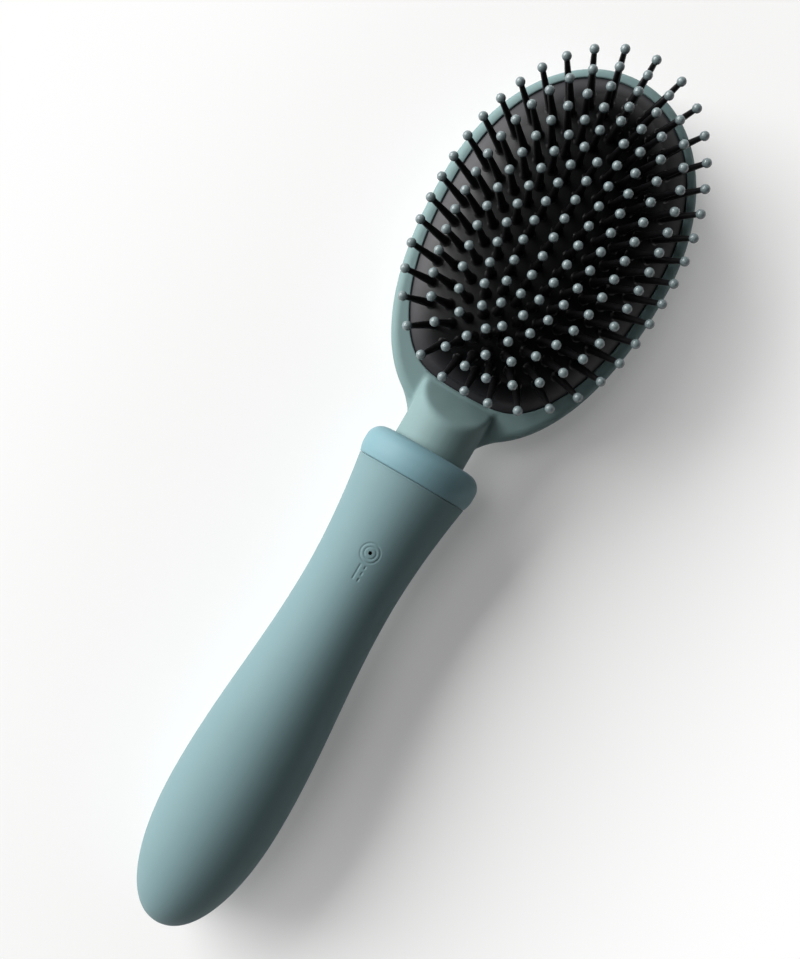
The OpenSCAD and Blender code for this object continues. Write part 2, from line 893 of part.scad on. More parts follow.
module motor_leads() {
    start_z = axis_z + motor_r * 0.4;
    top_z = axis_z + battery_r + lead_r * 1.7;
    end_y = board_back_y + board_gap;
    color([0.1, 0.1, 0.1])
        for (side = [-1, 1])
            lead([for (p = [
                    [cap_end_y, start_z],
                    [cap_end_y + lead_r * 2, start_z],
                    [mix(cap_end_y, battery_back_y, 0.55), mix(start_z, top_z, 0.35)],
                    [mix(cap_end_y, battery_back_y, 0.85), mix(start_z, top_z, 0.85)],
                    [battery_back_y + lead_r * 3, top_z],
                    [mix(battery_back_y, battery_front_y, 0.5), top_z],
                    [battery_front_y - lead_r, top_z],
                    [mix(battery_front_y, end_y, 0.35), mix(top_z, board_top, 0.25)],
                    [mix(battery_front_y, end_y, 0.8), mix(top_z, board_top, 0.7)],
                    [end_y, mix(top_z, board_top, 0.9)],
                    [end_y, board_top]
                ]) [side * lead_x, p[0], p[1]]]);
}

// Board, with a charging chip, a motor driver and a coil
module circuit_board() {
    half_w = waist_r * 0.62;
    chip = board_t * 3;
    color([0.1, 0.35, 0.2])
        union() {
            block([-half_w, board_back_y, board_bottom], [half_w, board_front_y, board_top]);
            block([half_w - chip * 1.2, board_back_y + board_t, board_top - board_t / 2],
                [half_w - chip * 0.2, board_back_y + board_t + chip, board_top + board_t]);
            block([-half_w + chip * 0.2, board_back_y + board_t, board_top - board_t / 2],
                [-half_w + chip * 1.2, board_back_y + board_t + chip * 1.3, board_top + board_t * 0.8]);
            post(chip / 2, [half_w - chip * 0.8, board_front_y - chip],
                board_top - board_t / 2, board_top + chip * 0.8);
        }
}

// Charging socket: a blind pin hole in a nose that reaches through the core
module charge_socket() {
    nose_top = axis_z + sqrt(pow(grip_r(port_y, core_out), 2) - pow(nose_r, 2)) - fit;
    body_top = axis_z + sqrt(pow(grip_r(port_y, core_in), 2) - pow(port_body_r, 2)) - slip;
    color([0.12, 0.12, 0.13])
        difference() {
            union() {
                post(port_body_r, [0, port_y], board_top, body_top);
                post(nose_r, [0, port_y], board_top, nose_top);
            }
            post(pin_hole_r, [0, port_y], nose_top - pin_hole_depth, nose_top + over);
        }
}

// Places of the button's parts under the long axis
switch_face = axis_z - board_t * 1.5 - switch_h;
flange_face = axis_z - sqrt(pow(grip_r(port_y, core_in), 2) - pow(button_flange_r, 2)) + soft_gap;
button_inner = flange_face + button_flange_t;
button_face = axis_z - grip_r(port_y) - button_proud;

module tact_switch() {
    color([0.15, 0.15, 0.16])
        difference() {
            block([-switch_w / 2, port_y - switch_w / 2, switch_face],
                [switch_w / 2, port_y + switch_w / 2, board_bottom]);
            post(stem_bore, [0, port_y], switch_face - over, board_bottom - board_t / 2);
        }
}

// Stem that stands between the button and the switch
module switch_stem() {
    color([0.85, 0.82, 0.7])
        post(stem_r, [0, port_y], button_inner, board_bottom - board_t / 2 - button_travel - soft_gap);
}

// Button with a domed face and a flange that keeps it in
module power_button() {
    crown = button_proud * 0.9;
    color(collar_blue)
        translate([0, port_y, 0])
            rotate_extrude($fn = 64)
                polygon(concat(
                    [[0, button_inner], [button_flange_r, button_inner], [button_flange_r, flange_face],
                        [button_r, flange_face]],
                    [for (a = [0:15:90]) [button_r * pow(cos(a), 0.35), button_face + crown * (1 - sin(a))]]
                ));
}

// Motor

module motor_can() {
    color(steel)
        difference() {
            union() {
                bar(motor_r, can_front_y, can_back_y);
                bar(shaft_r * 2.4, can_front_y - weight_gap / 2, can_front_y + can_t);
            }
            bar(motor_r - can_t, can_front_y + can_t, can_back_y + over);
            bar(shaft_r + fit, can_front_y - over, can_front_y + can_t * 2);
        }
}

module motor_end_cap() {
    tab = shaft_r * 0.6;
    color([0.9, 0.9, 0.88])
        difference() {
            union() {
                bar(motor_r, can_back_y, cap_end_y);
                bar(motor_r - can_t - fit, can_back_y - can_t, can_back_y + can_t);
            }
            bar(shaft_r + fit, can_back_y - can_t * 2, cap_end_y - tab);
        }
}

module motor_boot() {
    color(rubber_black)
        difference() {
            bar(boot_r, boot_y, boot_y + boot_len);
            bar(motor_r, boot_y - over, boot_y + boot_len + over);
        }
}

module motor_shaft() {
    color(steel)
        bar(shaft_r, shaft_end_y, cap_end_y - shaft_r * 0.8);
}

// Armature with three wound poles on the shaft
module motor_armature() {
    r = (motor_r - can_t) * 0.82;
    from_y = can_front_y + motor_len * 0.22;
    to_y = can_back_y - motor_len * 0.22;
    color(copper)
        difference() {
            bar(r, from_y, to_y);
            for (turn = [60:120:300])
                along_handle()
                    rotate([0, 0, turn])
                        translate([r * 0.45, -r * 0.14, from_y - over])
                            cube([r, r * 0.28, to_y - from_y + over * 2]);
            bar(shaft_r, from_y - over, to_y + over);
        }
}

// Half disc that shakes the handle as it spins
module eccentric_weight() {
    hub = shaft_r * 2;
    color([0.55, 0.53, 0.5])
        difference() {
            union() {
                bar(hub, weight_y, weight_y + weight_len);
                intersection() {
                    bar(weight_r, weight_y, weight_y + weight_len);
                    block([-weight_r, weight_y, axis_z - weight_r], [weight_r, weight_y + weight_len, axis_z]);
                }
            }
            bar(shaft_r, weight_y - over, weight_y + weight_len + over);
        }
}

head_shell();
cushion_skirt();
head_spigot();
spigot_o_ring();
bristle_ring(1);  // bristle_ring_1
bristle_ring(2);  // bristle_ring_2
bristle_ring(3);  // bristle_ring_3
bristle_ring(4);  // bristle_ring_4
bristle_ring(5);  // bristle_ring_5
bristle_row();
tips_ring(1);  // tips_ring_1
tips_ring(2);  // tips_ring_2
tips_ring(3);  // tips_ring_3
tips_ring(4);  // tips_ring_4
tips_ring(5);  // tips_ring_5
tips_row();
grip_sleeve();
collar();
core_front();
core_back();
core_screws();
socket_tube();
battery();
battery_leads();
circuit_board();
charge_socket();
tact_switch();
motor_can();
motor_end_cap();
motor_boot();
motor_leads();
motor_shaft();
motor_armature();
eccentric_weight();
power_button();
switch_stem();
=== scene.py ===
# %% [markdown]
# # A rechargeable detangling brush
#
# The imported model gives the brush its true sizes, its moving bodies and its solids. This lesson dresses that
# frame: smooth skins go over the faceted shells, round pins over the four-sided ones, and every surface,
# inside and out, gets the material that it has on the real brush. All sizes are written in millimetres, as on
# a drawing, and turned into metres when a mesh is made.

# %% Load the frame
import math

import bmesh
import bpy
import numpy as np
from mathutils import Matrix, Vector


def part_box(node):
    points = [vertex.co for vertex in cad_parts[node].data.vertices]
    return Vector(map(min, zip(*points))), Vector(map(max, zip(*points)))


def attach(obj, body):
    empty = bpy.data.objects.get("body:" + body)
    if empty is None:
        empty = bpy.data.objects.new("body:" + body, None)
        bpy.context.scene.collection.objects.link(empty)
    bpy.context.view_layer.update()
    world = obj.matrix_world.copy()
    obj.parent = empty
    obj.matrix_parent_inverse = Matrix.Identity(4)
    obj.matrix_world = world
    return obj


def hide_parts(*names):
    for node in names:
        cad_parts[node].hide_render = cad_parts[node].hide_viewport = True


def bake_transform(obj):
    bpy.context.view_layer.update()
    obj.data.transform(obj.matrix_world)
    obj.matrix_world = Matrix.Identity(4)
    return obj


MM = 0.001
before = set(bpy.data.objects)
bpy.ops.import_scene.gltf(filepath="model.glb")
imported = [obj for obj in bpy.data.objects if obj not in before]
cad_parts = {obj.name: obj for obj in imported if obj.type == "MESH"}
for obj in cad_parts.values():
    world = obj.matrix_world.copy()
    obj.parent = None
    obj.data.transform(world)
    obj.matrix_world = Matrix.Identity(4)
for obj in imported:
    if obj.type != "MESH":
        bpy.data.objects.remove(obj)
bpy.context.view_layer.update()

# %% [markdown]
# ## Where things are
#
# The brush lies on its back. +Z is the way the pins point and +Y runs from the handle to the crown of the
# head. The handle is turned round one long axis, so the boxes of the collar, the grip and the head give that
# axis and all the stations along it.

# %% Stations along the handle
def box_mm(name):
    """Lowest and highest corner of a solid of the frame, in millimetres."""
    low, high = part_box(name)
    return np.array(low) / MM, np.array(high) / MM


collar_low, collar_high = box_mm("collar")
grip_low, grip_high = box_mm("grip_sleeve")
head_low, head_high = box_mm("head_shell")
cushion_low, cushion_high = box_mm("cushion_skirt")
spigot_high = box_mm("head_spigot")[1]
socket_low, socket_high = box_mm("charge_socket")

axis_z = (collar_low[2] + collar_high[2]) / 2
collar_r = (collar_high[0] - collar_low[0]) / 2
collar_top_y, mouth_y = collar_high[1], collar_low[1]
tip_y = grip_low[1]
neck_end_y = head_low[1]
neck_r = head_high[2] - axis_z
plug_r = spigot_high[0]
port_y = (socket_low[1] + socket_high[1]) / 2
print("axis at z", round(axis_z, 2), "mouth at y", round(mouth_y, 2), "port at y", round(port_y, 2))

# %% [markdown]
# ## Colours and shader nodes
#
# Colours are picked as sRGB hex values, because that is how a swatch is read, and shaders need them linear.
# One small function adds any shader node with its settings and its links. Another ends each material in the
# same way: two near colours mixed by a pattern, a polish that wanders and a fine relief, since no real
# surface is one flat colour.

# %% Helpers for materials
# The Mix node has sockets for every kind of data. These are its sockets for colours.
MIX_SHARE, MIX_A, MIX_B = 0, 6, 7
MIXED = 2


def linear(swatch):
    """An sRGB hex colour as the linear colour that a shader takes."""
    parts = [int(swatch[i:i + 2], 16) / 255 for i in (1, 3, 5)]
    return [p / 12.92 if p <= 0.04045 else ((p + 0.055) / 1.055) ** 2.4 for p in parts] + [1.0]


def plug_in(tree, target, sockets):
    """Sets a node's inputs to numbers or colours, or links them to other nodes' outputs."""
    for name, value in sockets.items():
        if isinstance(value, bpy.types.NodeSocket):
            tree.links.new(value, target.inputs[name])
        else:
            target.inputs[name].default_value = value


def add(tree, kind, sockets=None, **settings):
    """Adds one shader node."""
    made = tree.nodes.new("ShaderNode" + kind)
    for field, value in settings.items():
        setattr(made, field, value)
    plug_in(tree, made, sockets or {})
    return made


def start_material(name):
    """A new material, its node tree, its surface shader and the place in space in metres."""
    material = bpy.data.materials.new(name)
    material.use_nodes = True
    tree = material.node_tree
    place = add(tree, "TexCoord").outputs["Object"]
    return material, tree, tree.nodes["Principled BSDF"], place


def give_finish(tree, shader, share, colours, polish, reliefs, rest=None):
    """Gives a surface its colour, its polish and its relief, and sets the rest of its sockets.

    The share is a pattern that mixes the two colours, each a swatch or a node's output. The polish is a
    roughness, or a pattern and the roughness at its 0 and at its 1. A relief is a pattern, its strength and
    its depth in millimetres, and each one lies on the one before.
    """
    first, second = [linear(part) if isinstance(part, str) else part for part in colours]
    colour = add(tree, "Mix", {MIX_SHARE: share, MIX_A: first, MIX_B: second}, data_type="RGBA")
    if isinstance(polish, tuple):
        pattern, least, most = polish
        polish = add(tree, "MapRange", {"Value": pattern, "To Min": least, "To Max": most}).outputs[0]
    normal = {}
    for pattern, strength, depth in reliefs:
        height = {"Height": pattern, "Strength": strength, "Distance": depth * MM}
        normal = {"Normal": add(tree, "Bump", {**height, **normal}).outputs["Normal"]}
    plug_in(tree, shader, {"Base Color": colour.outputs[MIXED], "Roughness": polish, **normal})
    plug_in(tree, shader, rest or {})


def per_mm(size):
    """The texture scale whose pattern repeats about once in this many millimetres."""
    return 1 / (size * MM)


print("middle grey in linear light:", round(linear("#808080")[0], 3))

# %% [markdown]
# ## Soft-touch skins
#
# The grip is a sock of moulded silicone. Its mould was blasted with fine grit, so it has no clear reflection,
# only a broad soft sheen at grazing angles. Grit of about 0.1 mm is finer than a pixel here, which is a
# quarter of a millimetre, so the grain is drawn at 0.35 mm, faintly. Handling and the mould leave the colour
# a little uneven over a centimetre or two, so the long handle doesn't look like one flat tone.

# %% Moulded silicone
def moulded_silicone(name, swatch, worn_swatch):
    """Silky matt silicone: a faint grain, and patches that differ a little in colour and polish."""
    material, tree, shader, place = start_material(name)
    patches = add(tree, "TexNoise", {"Vector": place, "Scale": per_mm(22), "Detail": 3.0, "Roughness": 0.55})
    grain = add(tree, "TexNoise", {"Vector": place, "Scale": per_mm(0.35), "Detail": 2.0, "Roughness": 0.6})
    patch = patches.outputs["Fac"]
    give_finish(
        tree, shader, patch, (swatch, worn_swatch), (patch, 0.56, 0.68), [(grain.outputs["Fac"], 0.12, 0.02)],
        {"IOR": 1.41, "Specular IOR Level": 0.12, "Sheen Weight": 0.05, "Sheen Roughness": 0.5})
    return material


grip_silicone = moulded_silicone("moulded_silicone_grip", "#6F888C", "#6A8386")
print("made", grip_silicone.name)

# %% [markdown]
# The head is injection-moulded ABS under a matt soft-touch paint. Sprayed paint settles into a very faint
# orange peel, waves about a millimetre and a half apart, under a fine matt grain, which is drawn at 0.3 mm,
# coarser than it is, so that it shows at all. To the eye the peel keeps the wide rim from looking like glass.
# The collar and the button are bare satin ABS, so they are a little glossier and bluer.

# %% Painted and satin ABS
def painted_abs(name, swatch, second_swatch, roughness, peel):
    """Moulded ABS, painted or bare, with an orange peel of the given strength under a fine grain."""
    material, tree, shader, place = start_material(name)
    patches = add(tree, "TexNoise", {"Vector": place, "Scale": per_mm(16), "Detail": 2.0})
    waves = add(tree, "TexNoise", {"Vector": place, "Scale": per_mm(1.5), "Detail": 1.0})
    grain = add(tree, "TexNoise", {"Vector": place, "Scale": per_mm(0.3), "Detail": 2.0})
    wave = waves.outputs["Fac"]
    give_finish(
        tree, shader, patches.outputs["Fac"], (swatch, second_swatch),
        (wave, roughness - 0.04, roughness + 0.04), [(wave, peel, 0.02), (grain.outputs["Fac"], 0.08, 0.02)],
        {"IOR": 1.53, "Specular IOR Level": 0.2})
    return material


head_paint = painted_abs("soft_paint_on_abs", "#748B8B", "#6F8686", 0.62, 0.25)
collar_abs = painted_abs("satin_abs_collar", "#709199", "#6B8C94", 0.56, 0.15)
print("made", head_paint.name, "and", collar_abs.name)

# %% [markdown]
# ## Rubber
#
# The cushion is a sheet of moulded black rubber, and its crown is pitch black. Its flank pales towards the rim
# in a grey that is painted sheen: it stands for the light that falls on the flank, and is painted all round.
# Specks of dust stick to it here and there. Its mould grain is drawn at 0.4 mm, coarser than it is, so that it
# shows.

# %% Moulded rubber
# Heights between which the cushion's flank is painted paler, as painted sheen, and how far that edge wanders.
PAINTED_SHEEN_FULL_Z = 15.5
PAINTED_SHEEN_NONE_Z = 18.3
PAINTED_SHEEN_WANDER = 2


def moulded_rubber(name, swatch, dust_swatch, roughness, gloss, painted_sheen_swatch=None):
    """Black rubber. With a painted-sheen swatch it is painted paler, as sheen, from the upper one of the two
    heights to the lower one.
    """
    material, tree, shader, place = start_material(name)
    dust_and_sheen_mottle = add(tree, "TexNoise", {"Vector": place, "Scale": per_mm(9), "Detail": 4.0, "Roughness": 0.6})
    grain = add(tree, "TexNoise", {"Vector": place, "Scale": per_mm(0.4), "Detail": 3.0, "Roughness": 0.65})
    dust = add(tree, "TexVoronoi", {"Vector": place, "Scale": per_mm(2.6), "Randomness": 1.0})
    fleck = add(tree, "MapRange", {
        "Value": dust.outputs["Distance"], "From Min": 0.035, "From Max": 0.06, "To Min": 1.0, "To Max": 0.0,
    })
    flecked = add(tree, "Math", {0: fleck.outputs[0], 1: dust_and_sheen_mottle.outputs["Fac"]}, operation="MULTIPLY")
    share, colours = flecked.outputs[0], (swatch, dust_swatch)
    # Painted sheen: the flank is painted paler towards the rim, standing in for the light that falls on it.
    if painted_sheen_swatch:
        height = add(tree, "SeparateXYZ", {"Vector": place})
        uneven_z = add(tree, "Math", {
            0: dust_and_sheen_mottle.outputs["Fac"], 1: PAINTED_SHEEN_WANDER * MM, 2: height.outputs["Z"],
        }, operation="MULTIPLY_ADD")
        painted_sheen_share = add(tree, "MapRange", {
            "Value": uneven_z.outputs[0], "From Min": (PAINTED_SHEEN_FULL_Z + PAINTED_SHEEN_WANDER / 2) * MM,
            "From Max": (PAINTED_SHEEN_NONE_Z + PAINTED_SHEEN_WANDER / 2) * MM, "To Min": 1.0, "To Max": 0.0,
        }, interpolation_type="SMOOTHSTEP")
        dusty = add(tree, "Mix", {
            MIX_SHARE: share, MIX_A: linear(swatch), MIX_B: linear(dust_swatch),
        }, data_type="RGBA")
        share, colours = painted_sheen_share.outputs[0], (dusty.outputs[MIXED], painted_sheen_swatch)
    give_finish(
        tree, shader, share, colours, (dust_and_sheen_mottle.outputs["Fac"], roughness - 0.06, roughness + 0.06),
        [(grain.outputs["Fac"], 0.15, 0.03)], {"IOR": 1.52, "Specular IOR Level": gloss})
    return material


# 323134 is the painted sheen on the cushion's flank; the noise that moves its edge also places the dust.
cushion_rubber = moulded_rubber("moulded_rubber_cushion", "#030406", "#121216", 0.42, 0.2, "#323134")
nitrile_rubber = moulded_rubber("moulded_nitrile_rubber", "#141414", "#232323", 0.5, 0.26)
print("made", cushion_rubber.name, "and", nitrile_rubber.name)

# %% [markdown]
# ## Nylon and the other plastics
#
# Each pin is black nylon, smoother than the rubber, and its ball is a drop of grey-green nylon whose soft
# highlight is what makes the field of tips sparkle. Melted plastic flows into its mould and leaves faint
# swirls of polish, some millimetres long. The same finish in other colours does for the plastics inside:
# nylon and ABS in their natural whites, black nylon, and the smoother extruded PVC of the leads. The tiny
# pits of the mould are drawn at 0.25 mm, about one pixel, because real ones wouldn't show.

# %% Moulded plastics
def moulded_nylon(name, swatch, second_swatch, roughness, streak_mm=3.0):
    """A moulded plastic with swirls of colour and polish about as long as streak_mm."""
    material, tree, shader, place = start_material(name)
    flow = add(tree, "TexNoise", {
        "Vector": place, "Scale": per_mm(streak_mm), "Detail": 3.0, "Distortion": 0.4,
    })
    pits = add(tree, "TexNoise", {"Vector": place, "Scale": per_mm(0.25), "Detail": 2.0})
    swirl = flow.outputs["Fac"]
    give_finish(
        tree, shader, swirl, (swatch, second_swatch), (swirl, roughness - 0.05, roughness + 0.05),
        [(pits.outputs["Fac"], 0.08, 0.02)], {"IOR": 1.53})
    return material


pin_nylon = moulded_nylon("moulded_nylon_pins", "#0B0A0C", "#121114", 0.42)
tip_nylon = moulded_nylon("moulded_nylon_tips", "#727F81", "#6A7779", 0.25)
white_nylon = moulded_nylon("moulded_nylon_natural", "#E0DDD4", "#D5D2C8", 0.45, 6.0)
black_nylon = moulded_nylon("moulded_nylon_black", "#17171A", "#1F1F22", 0.4, 5.0)
core_abs = moulded_nylon("moulded_abs_core", "#CBCBC6", "#C0C1BC", 0.5, 12.0)
red_pvc = moulded_nylon("extruded_pvc_red", "#A01A14", "#8C1712", 0.35, 4.0)
black_pvc = moulded_nylon("extruded_pvc_black", "#141416", "#1C1C1E", 0.35, 4.0)
print("made seven moulded plastics")

# %% [markdown]
# ## Metals and the parts inside
#
# Nothing inside the handle shows from outside, but a part that is opened should look right as well. The
# motor's can and shaft are drawn steel: the die leaves fine rings round their axis, and these stretch a
# highlight into a band along the metal. The screws have the same fine lines under zinc plate, a little bluer.

# %% Metals
def drawn_metal(name, swatch, dull_swatch, roughness, ring_mm):
    """Metal with fine rings round the long axis, left by a die or a lathe."""
    material, tree, shader, place = start_material(name)
    along = add(tree, "SeparateXYZ", {"Vector": place})
    rings = add(tree, "TexNoise", {
        "W": along.outputs["Y"], "Scale": per_mm(ring_mm), "Detail": 4.0,
    }, noise_dimensions="1D")
    stain = add(tree, "TexNoise", {"Vector": place, "Scale": per_mm(5), "Detail": 3.0})
    ring = rings.outputs["Fac"]
    give_finish(
        tree, shader, stain.outputs["Fac"], (swatch, dull_swatch), (ring, roughness - 0.1, roughness + 0.1),
        [(ring, 0.15, 0.02)], {"Metallic": 1.0})
    return material


motor_steel = drawn_metal("drawn_nickel_plated_steel", "#C9C8C4", "#B4B2AD", 0.3, 0.3)
zinc_plate = drawn_metal("zinc_plated_steel", "#C4C8CE", "#AEB6C2", 0.34, 0.4)
print("made", motor_steel.name, "and", zinc_plate.name)

# %% [markdown]
# The weight that shakes the handle is tungsten powder, pressed and fired, so it is dull and full of open
# pores, which the cells of a Voronoi pattern give. The armature is wound with enamelled copper wire, whose
# clear coat makes the turns glint. The wire is a quarter of a millimetre thick, and its turns are drawn about
# six times as coarse, so that they show.

# %% Sintered weight and copper winding
WIRE_MM = 0.25
WAVE_RADIANS = 20  # the Wave texture's own factor: its bands are 2 pi / 20 of 1 / scale apart


def sintered_metal():
    """Pressed and fired metal powder: dull, with open pores that keep it from shining."""
    material, tree, shader, place = start_material("sintered_tungsten_alloy")
    pores = add(tree, "TexVoronoi", {"Vector": place, "Scale": per_mm(0.35)})
    tarnish = add(tree, "TexNoise", {"Vector": place, "Scale": per_mm(3), "Detail": 3.0})
    give_finish(
        tree, shader, tarnish.outputs["Fac"], ("#8C8780", "#756F68"), 0.55,
        [(pores.outputs["Distance"], 0.4, 0.05)], {"Metallic": 1.0})
    return material


def enamelled_copper():
    """Copper wire under clear enamel: fine bright bands with a glossy coat."""
    material, tree, shader, place = start_material("enamelled_copper_wire")
    turns = add(tree, "TexWave", {
        "Vector": place, "Scale": per_mm(WIRE_MM) / WAVE_RADIANS, "Distortion": 0.6, "Detail": 1.0,
    }, wave_type="BANDS", bands_direction="Y")
    turn = turns.outputs["Fac"]
    give_finish(
        tree, shader, turn, ("#6B2E12", "#C4703A"), 0.3, [(turn, 0.6, 0.12)],
        {"Metallic": 0.9, "Coat Weight": 0.6, "Coat Roughness": 0.15})
    return material


weight_metal = sintered_metal()
winding = enamelled_copper()
print("made", weight_metal.name, "and", winding.name)

# %% [markdown]
# The battery wears a shrunk plastic sleeve, glossy, with the faint ripples that shrinking leaves. The circuit
# board is glass-epoxy under green solder mask, with the copper tracks a shade lighter beneath it. Its chips
# are on top of it, so a height along Z tells the mask from the black chip bodies.

# %% Battery wrap and circuit board
BOARD_T = 1.0
CHIP_RISE = 0.05


def shrunk_wrap():
    """A glossy sleeve with faint ripples."""
    material, tree, shader, place = start_material("shrunk_pvc_wrap")
    ripples = add(tree, "TexNoise", {"Vector": place, "Scale": per_mm(4), "Detail": 2.0, "Distortion": 1.5})
    ripple = ripples.outputs["Fac"]
    give_finish(
        tree, shader, ripple, ("#2E6B4A", "#276042"), 0.25, [(ripple, 0.3, 0.1)], {"Coat Weight": 0.4})
    return material


def masked_board(chip_from_z):
    """Green solder mask over copper tracks, and black chips above the given height."""
    material, tree, shader, place = start_material("green_masked_board")
    tracks = add(tree, "TexBrick", {
        "Vector": place, "Scale": per_mm(3), "Color1": linear("#0E4A2A"), "Color2": linear("#125332"),
        "Mortar": linear("#2C7A4C"), "Mortar Size": 0.06,
    }, offset=0.37)
    height = add(tree, "SeparateXYZ", {"Vector": place})
    is_chip = add(tree, "Math", {0: height.outputs["Z"], 1: chip_from_z * MM}, operation="GREATER_THAN")
    give_finish(
        tree, shader, is_chip.outputs[0], (tracks.outputs["Color"], "#161618"), 0.3,
        [(tracks.outputs["Fac"], 0.4, 0.04)])
    return material


battery_wrap = shrunk_wrap()
board_top_z = box_mm("battery_leads")[1][2] + BOARD_T
board_laminate = masked_board(board_top_z + CHIP_RISE)
print("made", battery_wrap.name, "and", board_laminate.name)

# %% [markdown]
# ## Dress the solids that keep their shape
#
# Round, turned and flat pieces come out of the frame exact, so they stay and only change their material. This
# table says which material each one takes. What shows of them is the tips, the button and, when the head is
# pulled off, the plug with its sealing ring.

# %% Materials on the frame's own solids
DRESS = {
    tip_nylon: [f"tips_ring_{k}" for k in range(1, 6)] + ["tips_row"],
    core_abs: ["head_spigot", "core_front", "core_back", "socket_tube"],
    nitrile_rubber: ["spigot_o_ring", "motor_boot"],
    zinc_plate: ["core_screws"],
    motor_steel: ["motor_can", "motor_shaft"],
    winding: ["motor_armature"],
    weight_metal: ["eccentric_weight"],
    white_nylon: ["motor_end_cap", "switch_stem"],
    black_nylon: ["charge_socket", "tact_switch"],
    battery_wrap: ["battery"],
    red_pvc: ["battery_leads"],
    black_pvc: ["motor_leads"],
    board_laminate: ["circuit_board"],
    collar_abs: ["power_button"],
}
for material, names in DRESS.items():
    for name in names:
        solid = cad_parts[name].data
        for slot in range(len(solid.materials)):
            solid.materials[slot] = material
print("dressed", sum(map(len, DRESS.values())), "solids")

# %% [markdown]
# ## Making meshes
#
# Most pieces here are rows of points: sections up the head, or circles along the handle. A grid of quads
# joins neighbouring rows. Rows that shrink to a point are welded, so that a round end has a proper pole.

# %% Helpers for meshes
def once_round(steps):
    """Even angles round a full turn."""
    return np.linspace(0, 2 * math.pi, steps, endpoint=False)


def grid_faces(rows, columns):
    """Quads between rows of points, each row closed on itself."""
    here = np.arange(rows - 1)[:, None] * columns + np.arange(columns)[None, :]
    along = np.arange(rows - 1)[:, None] * columns + (np.arange(columns)[None, :] + 1) % columns
    return np.stack([here, along, along + columns, here + columns], axis=-1).reshape(-1, 4)


def make_piece(name, points, faces, material):
    """A smooth-shaded object from points in millimetres."""
    mesh = bpy.data.meshes.new(name)
    mesh.from_pydata((np.asarray(points, float) * MM).tolist(), [], [list(map(int, f)) for f in faces])
    skin = bmesh.new()
    skin.from_mesh(mesh)
    bmesh.ops.recalc_face_normals(skin, faces=skin.faces)
    skin.to_mesh(mesh)
    skin.free()
    mesh.materials.append(material)
    mesh.shade_smooth()
    piece = bpy.data.objects.new(name, mesh)
    bpy.context.scene.collection.objects.link(piece)
    return piece


def loft(name, rows, material, caps=True):
    """A closed skin over rows of points, capped at both ends."""
    rows = np.asarray(rows, float)
    count, columns = rows.shape[:2]
    faces = grid_faces(count, columns).tolist()
    if caps:
        faces += [list(range(columns))[::-1], list(range((count - 1) * columns, count * columns))]
    return make_piece(name, rows.reshape(-1, 3), faces, material)


def settle(piece):
    """Makes the result of a piece's modifiers its own mesh."""
    graph = bpy.context.evaluated_depsgraph_get()
    mesh = bpy.data.meshes.new_from_object(piece.evaluated_get(graph))
    piece.modifiers.clear()
    piece.data = mesh
    return piece


def combine(piece, other, operation):
    """Joins another solid to a piece, or cuts it away, and removes the other."""
    step = piece.modifiers.new(operation, "BOOLEAN")
    step.operation = operation
    step.solver = "EXACT"
    step.object = other
    settle(piece)
    bpy.data.objects.remove(other)
    return piece


def weld(piece, distance=0.002):
    """Joins points that lie closer together than the distance."""
    step = piece.modifiers.new("weld", "WELD")
    step.merge_threshold = distance * MM
    return settle(piece)


print("helpers for meshes are ready")

# %% [markdown]
# ## Turned pieces
#
# A turned piece is a profile, pairs of radius and place along the handle, spun round the long axis. Angle
# zero is the top, where the charging port is.

# %% Spin a profile
def turned_rows(profile, angles):
    """Rows of points: one circle for each pair of the profile."""
    radius, along = np.asarray(profile, float).T
    ring = np.stack([np.sin(angles), np.zeros_like(angles), np.cos(angles)], axis=-1)
    rows = radius[:, None, None] * ring[None, :, :]
    rows[:, :, 1] = along[:, None]
    rows[:, :, 2] += axis_z
    return rows


def turned(name, profile, material, steps):
    """A ring-shaped solid: the profile is a closed loop that never touches the axis."""
    angles = once_round(steps)
    rows = turned_rows(list(profile) + [profile[0]], angles)
    count = len(profile)
    faces = grid_faces(count + 1, steps) % (count * steps)
    return make_piece(name, rows[:-1].reshape(-1, 3), faces[:, ::-1], material)


def arc(centre, radius, start, stop, steps):
    """Points of a round corner in the plane of a profile, angles in degrees from the outward direction."""
    turn = np.radians(np.linspace(start, stop, steps))
    return [(centre[0] + radius * math.cos(t), centre[1] + radius * math.sin(t)) for t in turn]


def bar(name, radius, from_y, to_y, material, steps=96):
    """A round bar along the handle, used to cut or to join."""
    angles = once_round(steps)
    return loft(name, turned_rows([(radius, from_y), (radius, to_y)], angles), material)


def post(name, radius, place, from_z, to_z, material, steps=96):
    """A round post that stands along Z."""
    angles = once_round(steps)
    x, y = place[0] + radius * np.cos(angles), place[1] + radius * np.sin(angles)
    return loft(name, [np.stack([x, y, np.full(steps, z)], axis=-1) for z in (from_z, to_z)], material)


print("a quarter round has points", [tuple(round(v, 2) for v in point) for point in arc((0, 0), 1, 0, 90, 3)])

# %% [markdown]
# ## The grip
#
# The grip is one silicone sock. Its outline has three parts that run into each other: a round end, an ease
# from the belly to the waist, and a flare up to the collar. Written as one function of the place along the
# handle, the outline can be read at any point, by the skin as well as by what is cut into it.

# %% Outline of the grip
BELLY_FROM_TIP = 36.5
WAIST_FROM_MOUTH = 31.45
WAIST_R = 12.05
MOUTH_STEP = 0.7
TIP_FULLNESS = 2.2
FLARE_LATENESS = 1.8
SLEEVE_T = 1.6
SEAM = 0.06

belly_r = (grip_high[0] - grip_low[0]) / 2
mouth_r = collar_r - MOUTH_STEP
belly_y = tip_y + BELLY_FROM_TIP
waist_y = mouth_y - WAIST_FROM_MOUTH


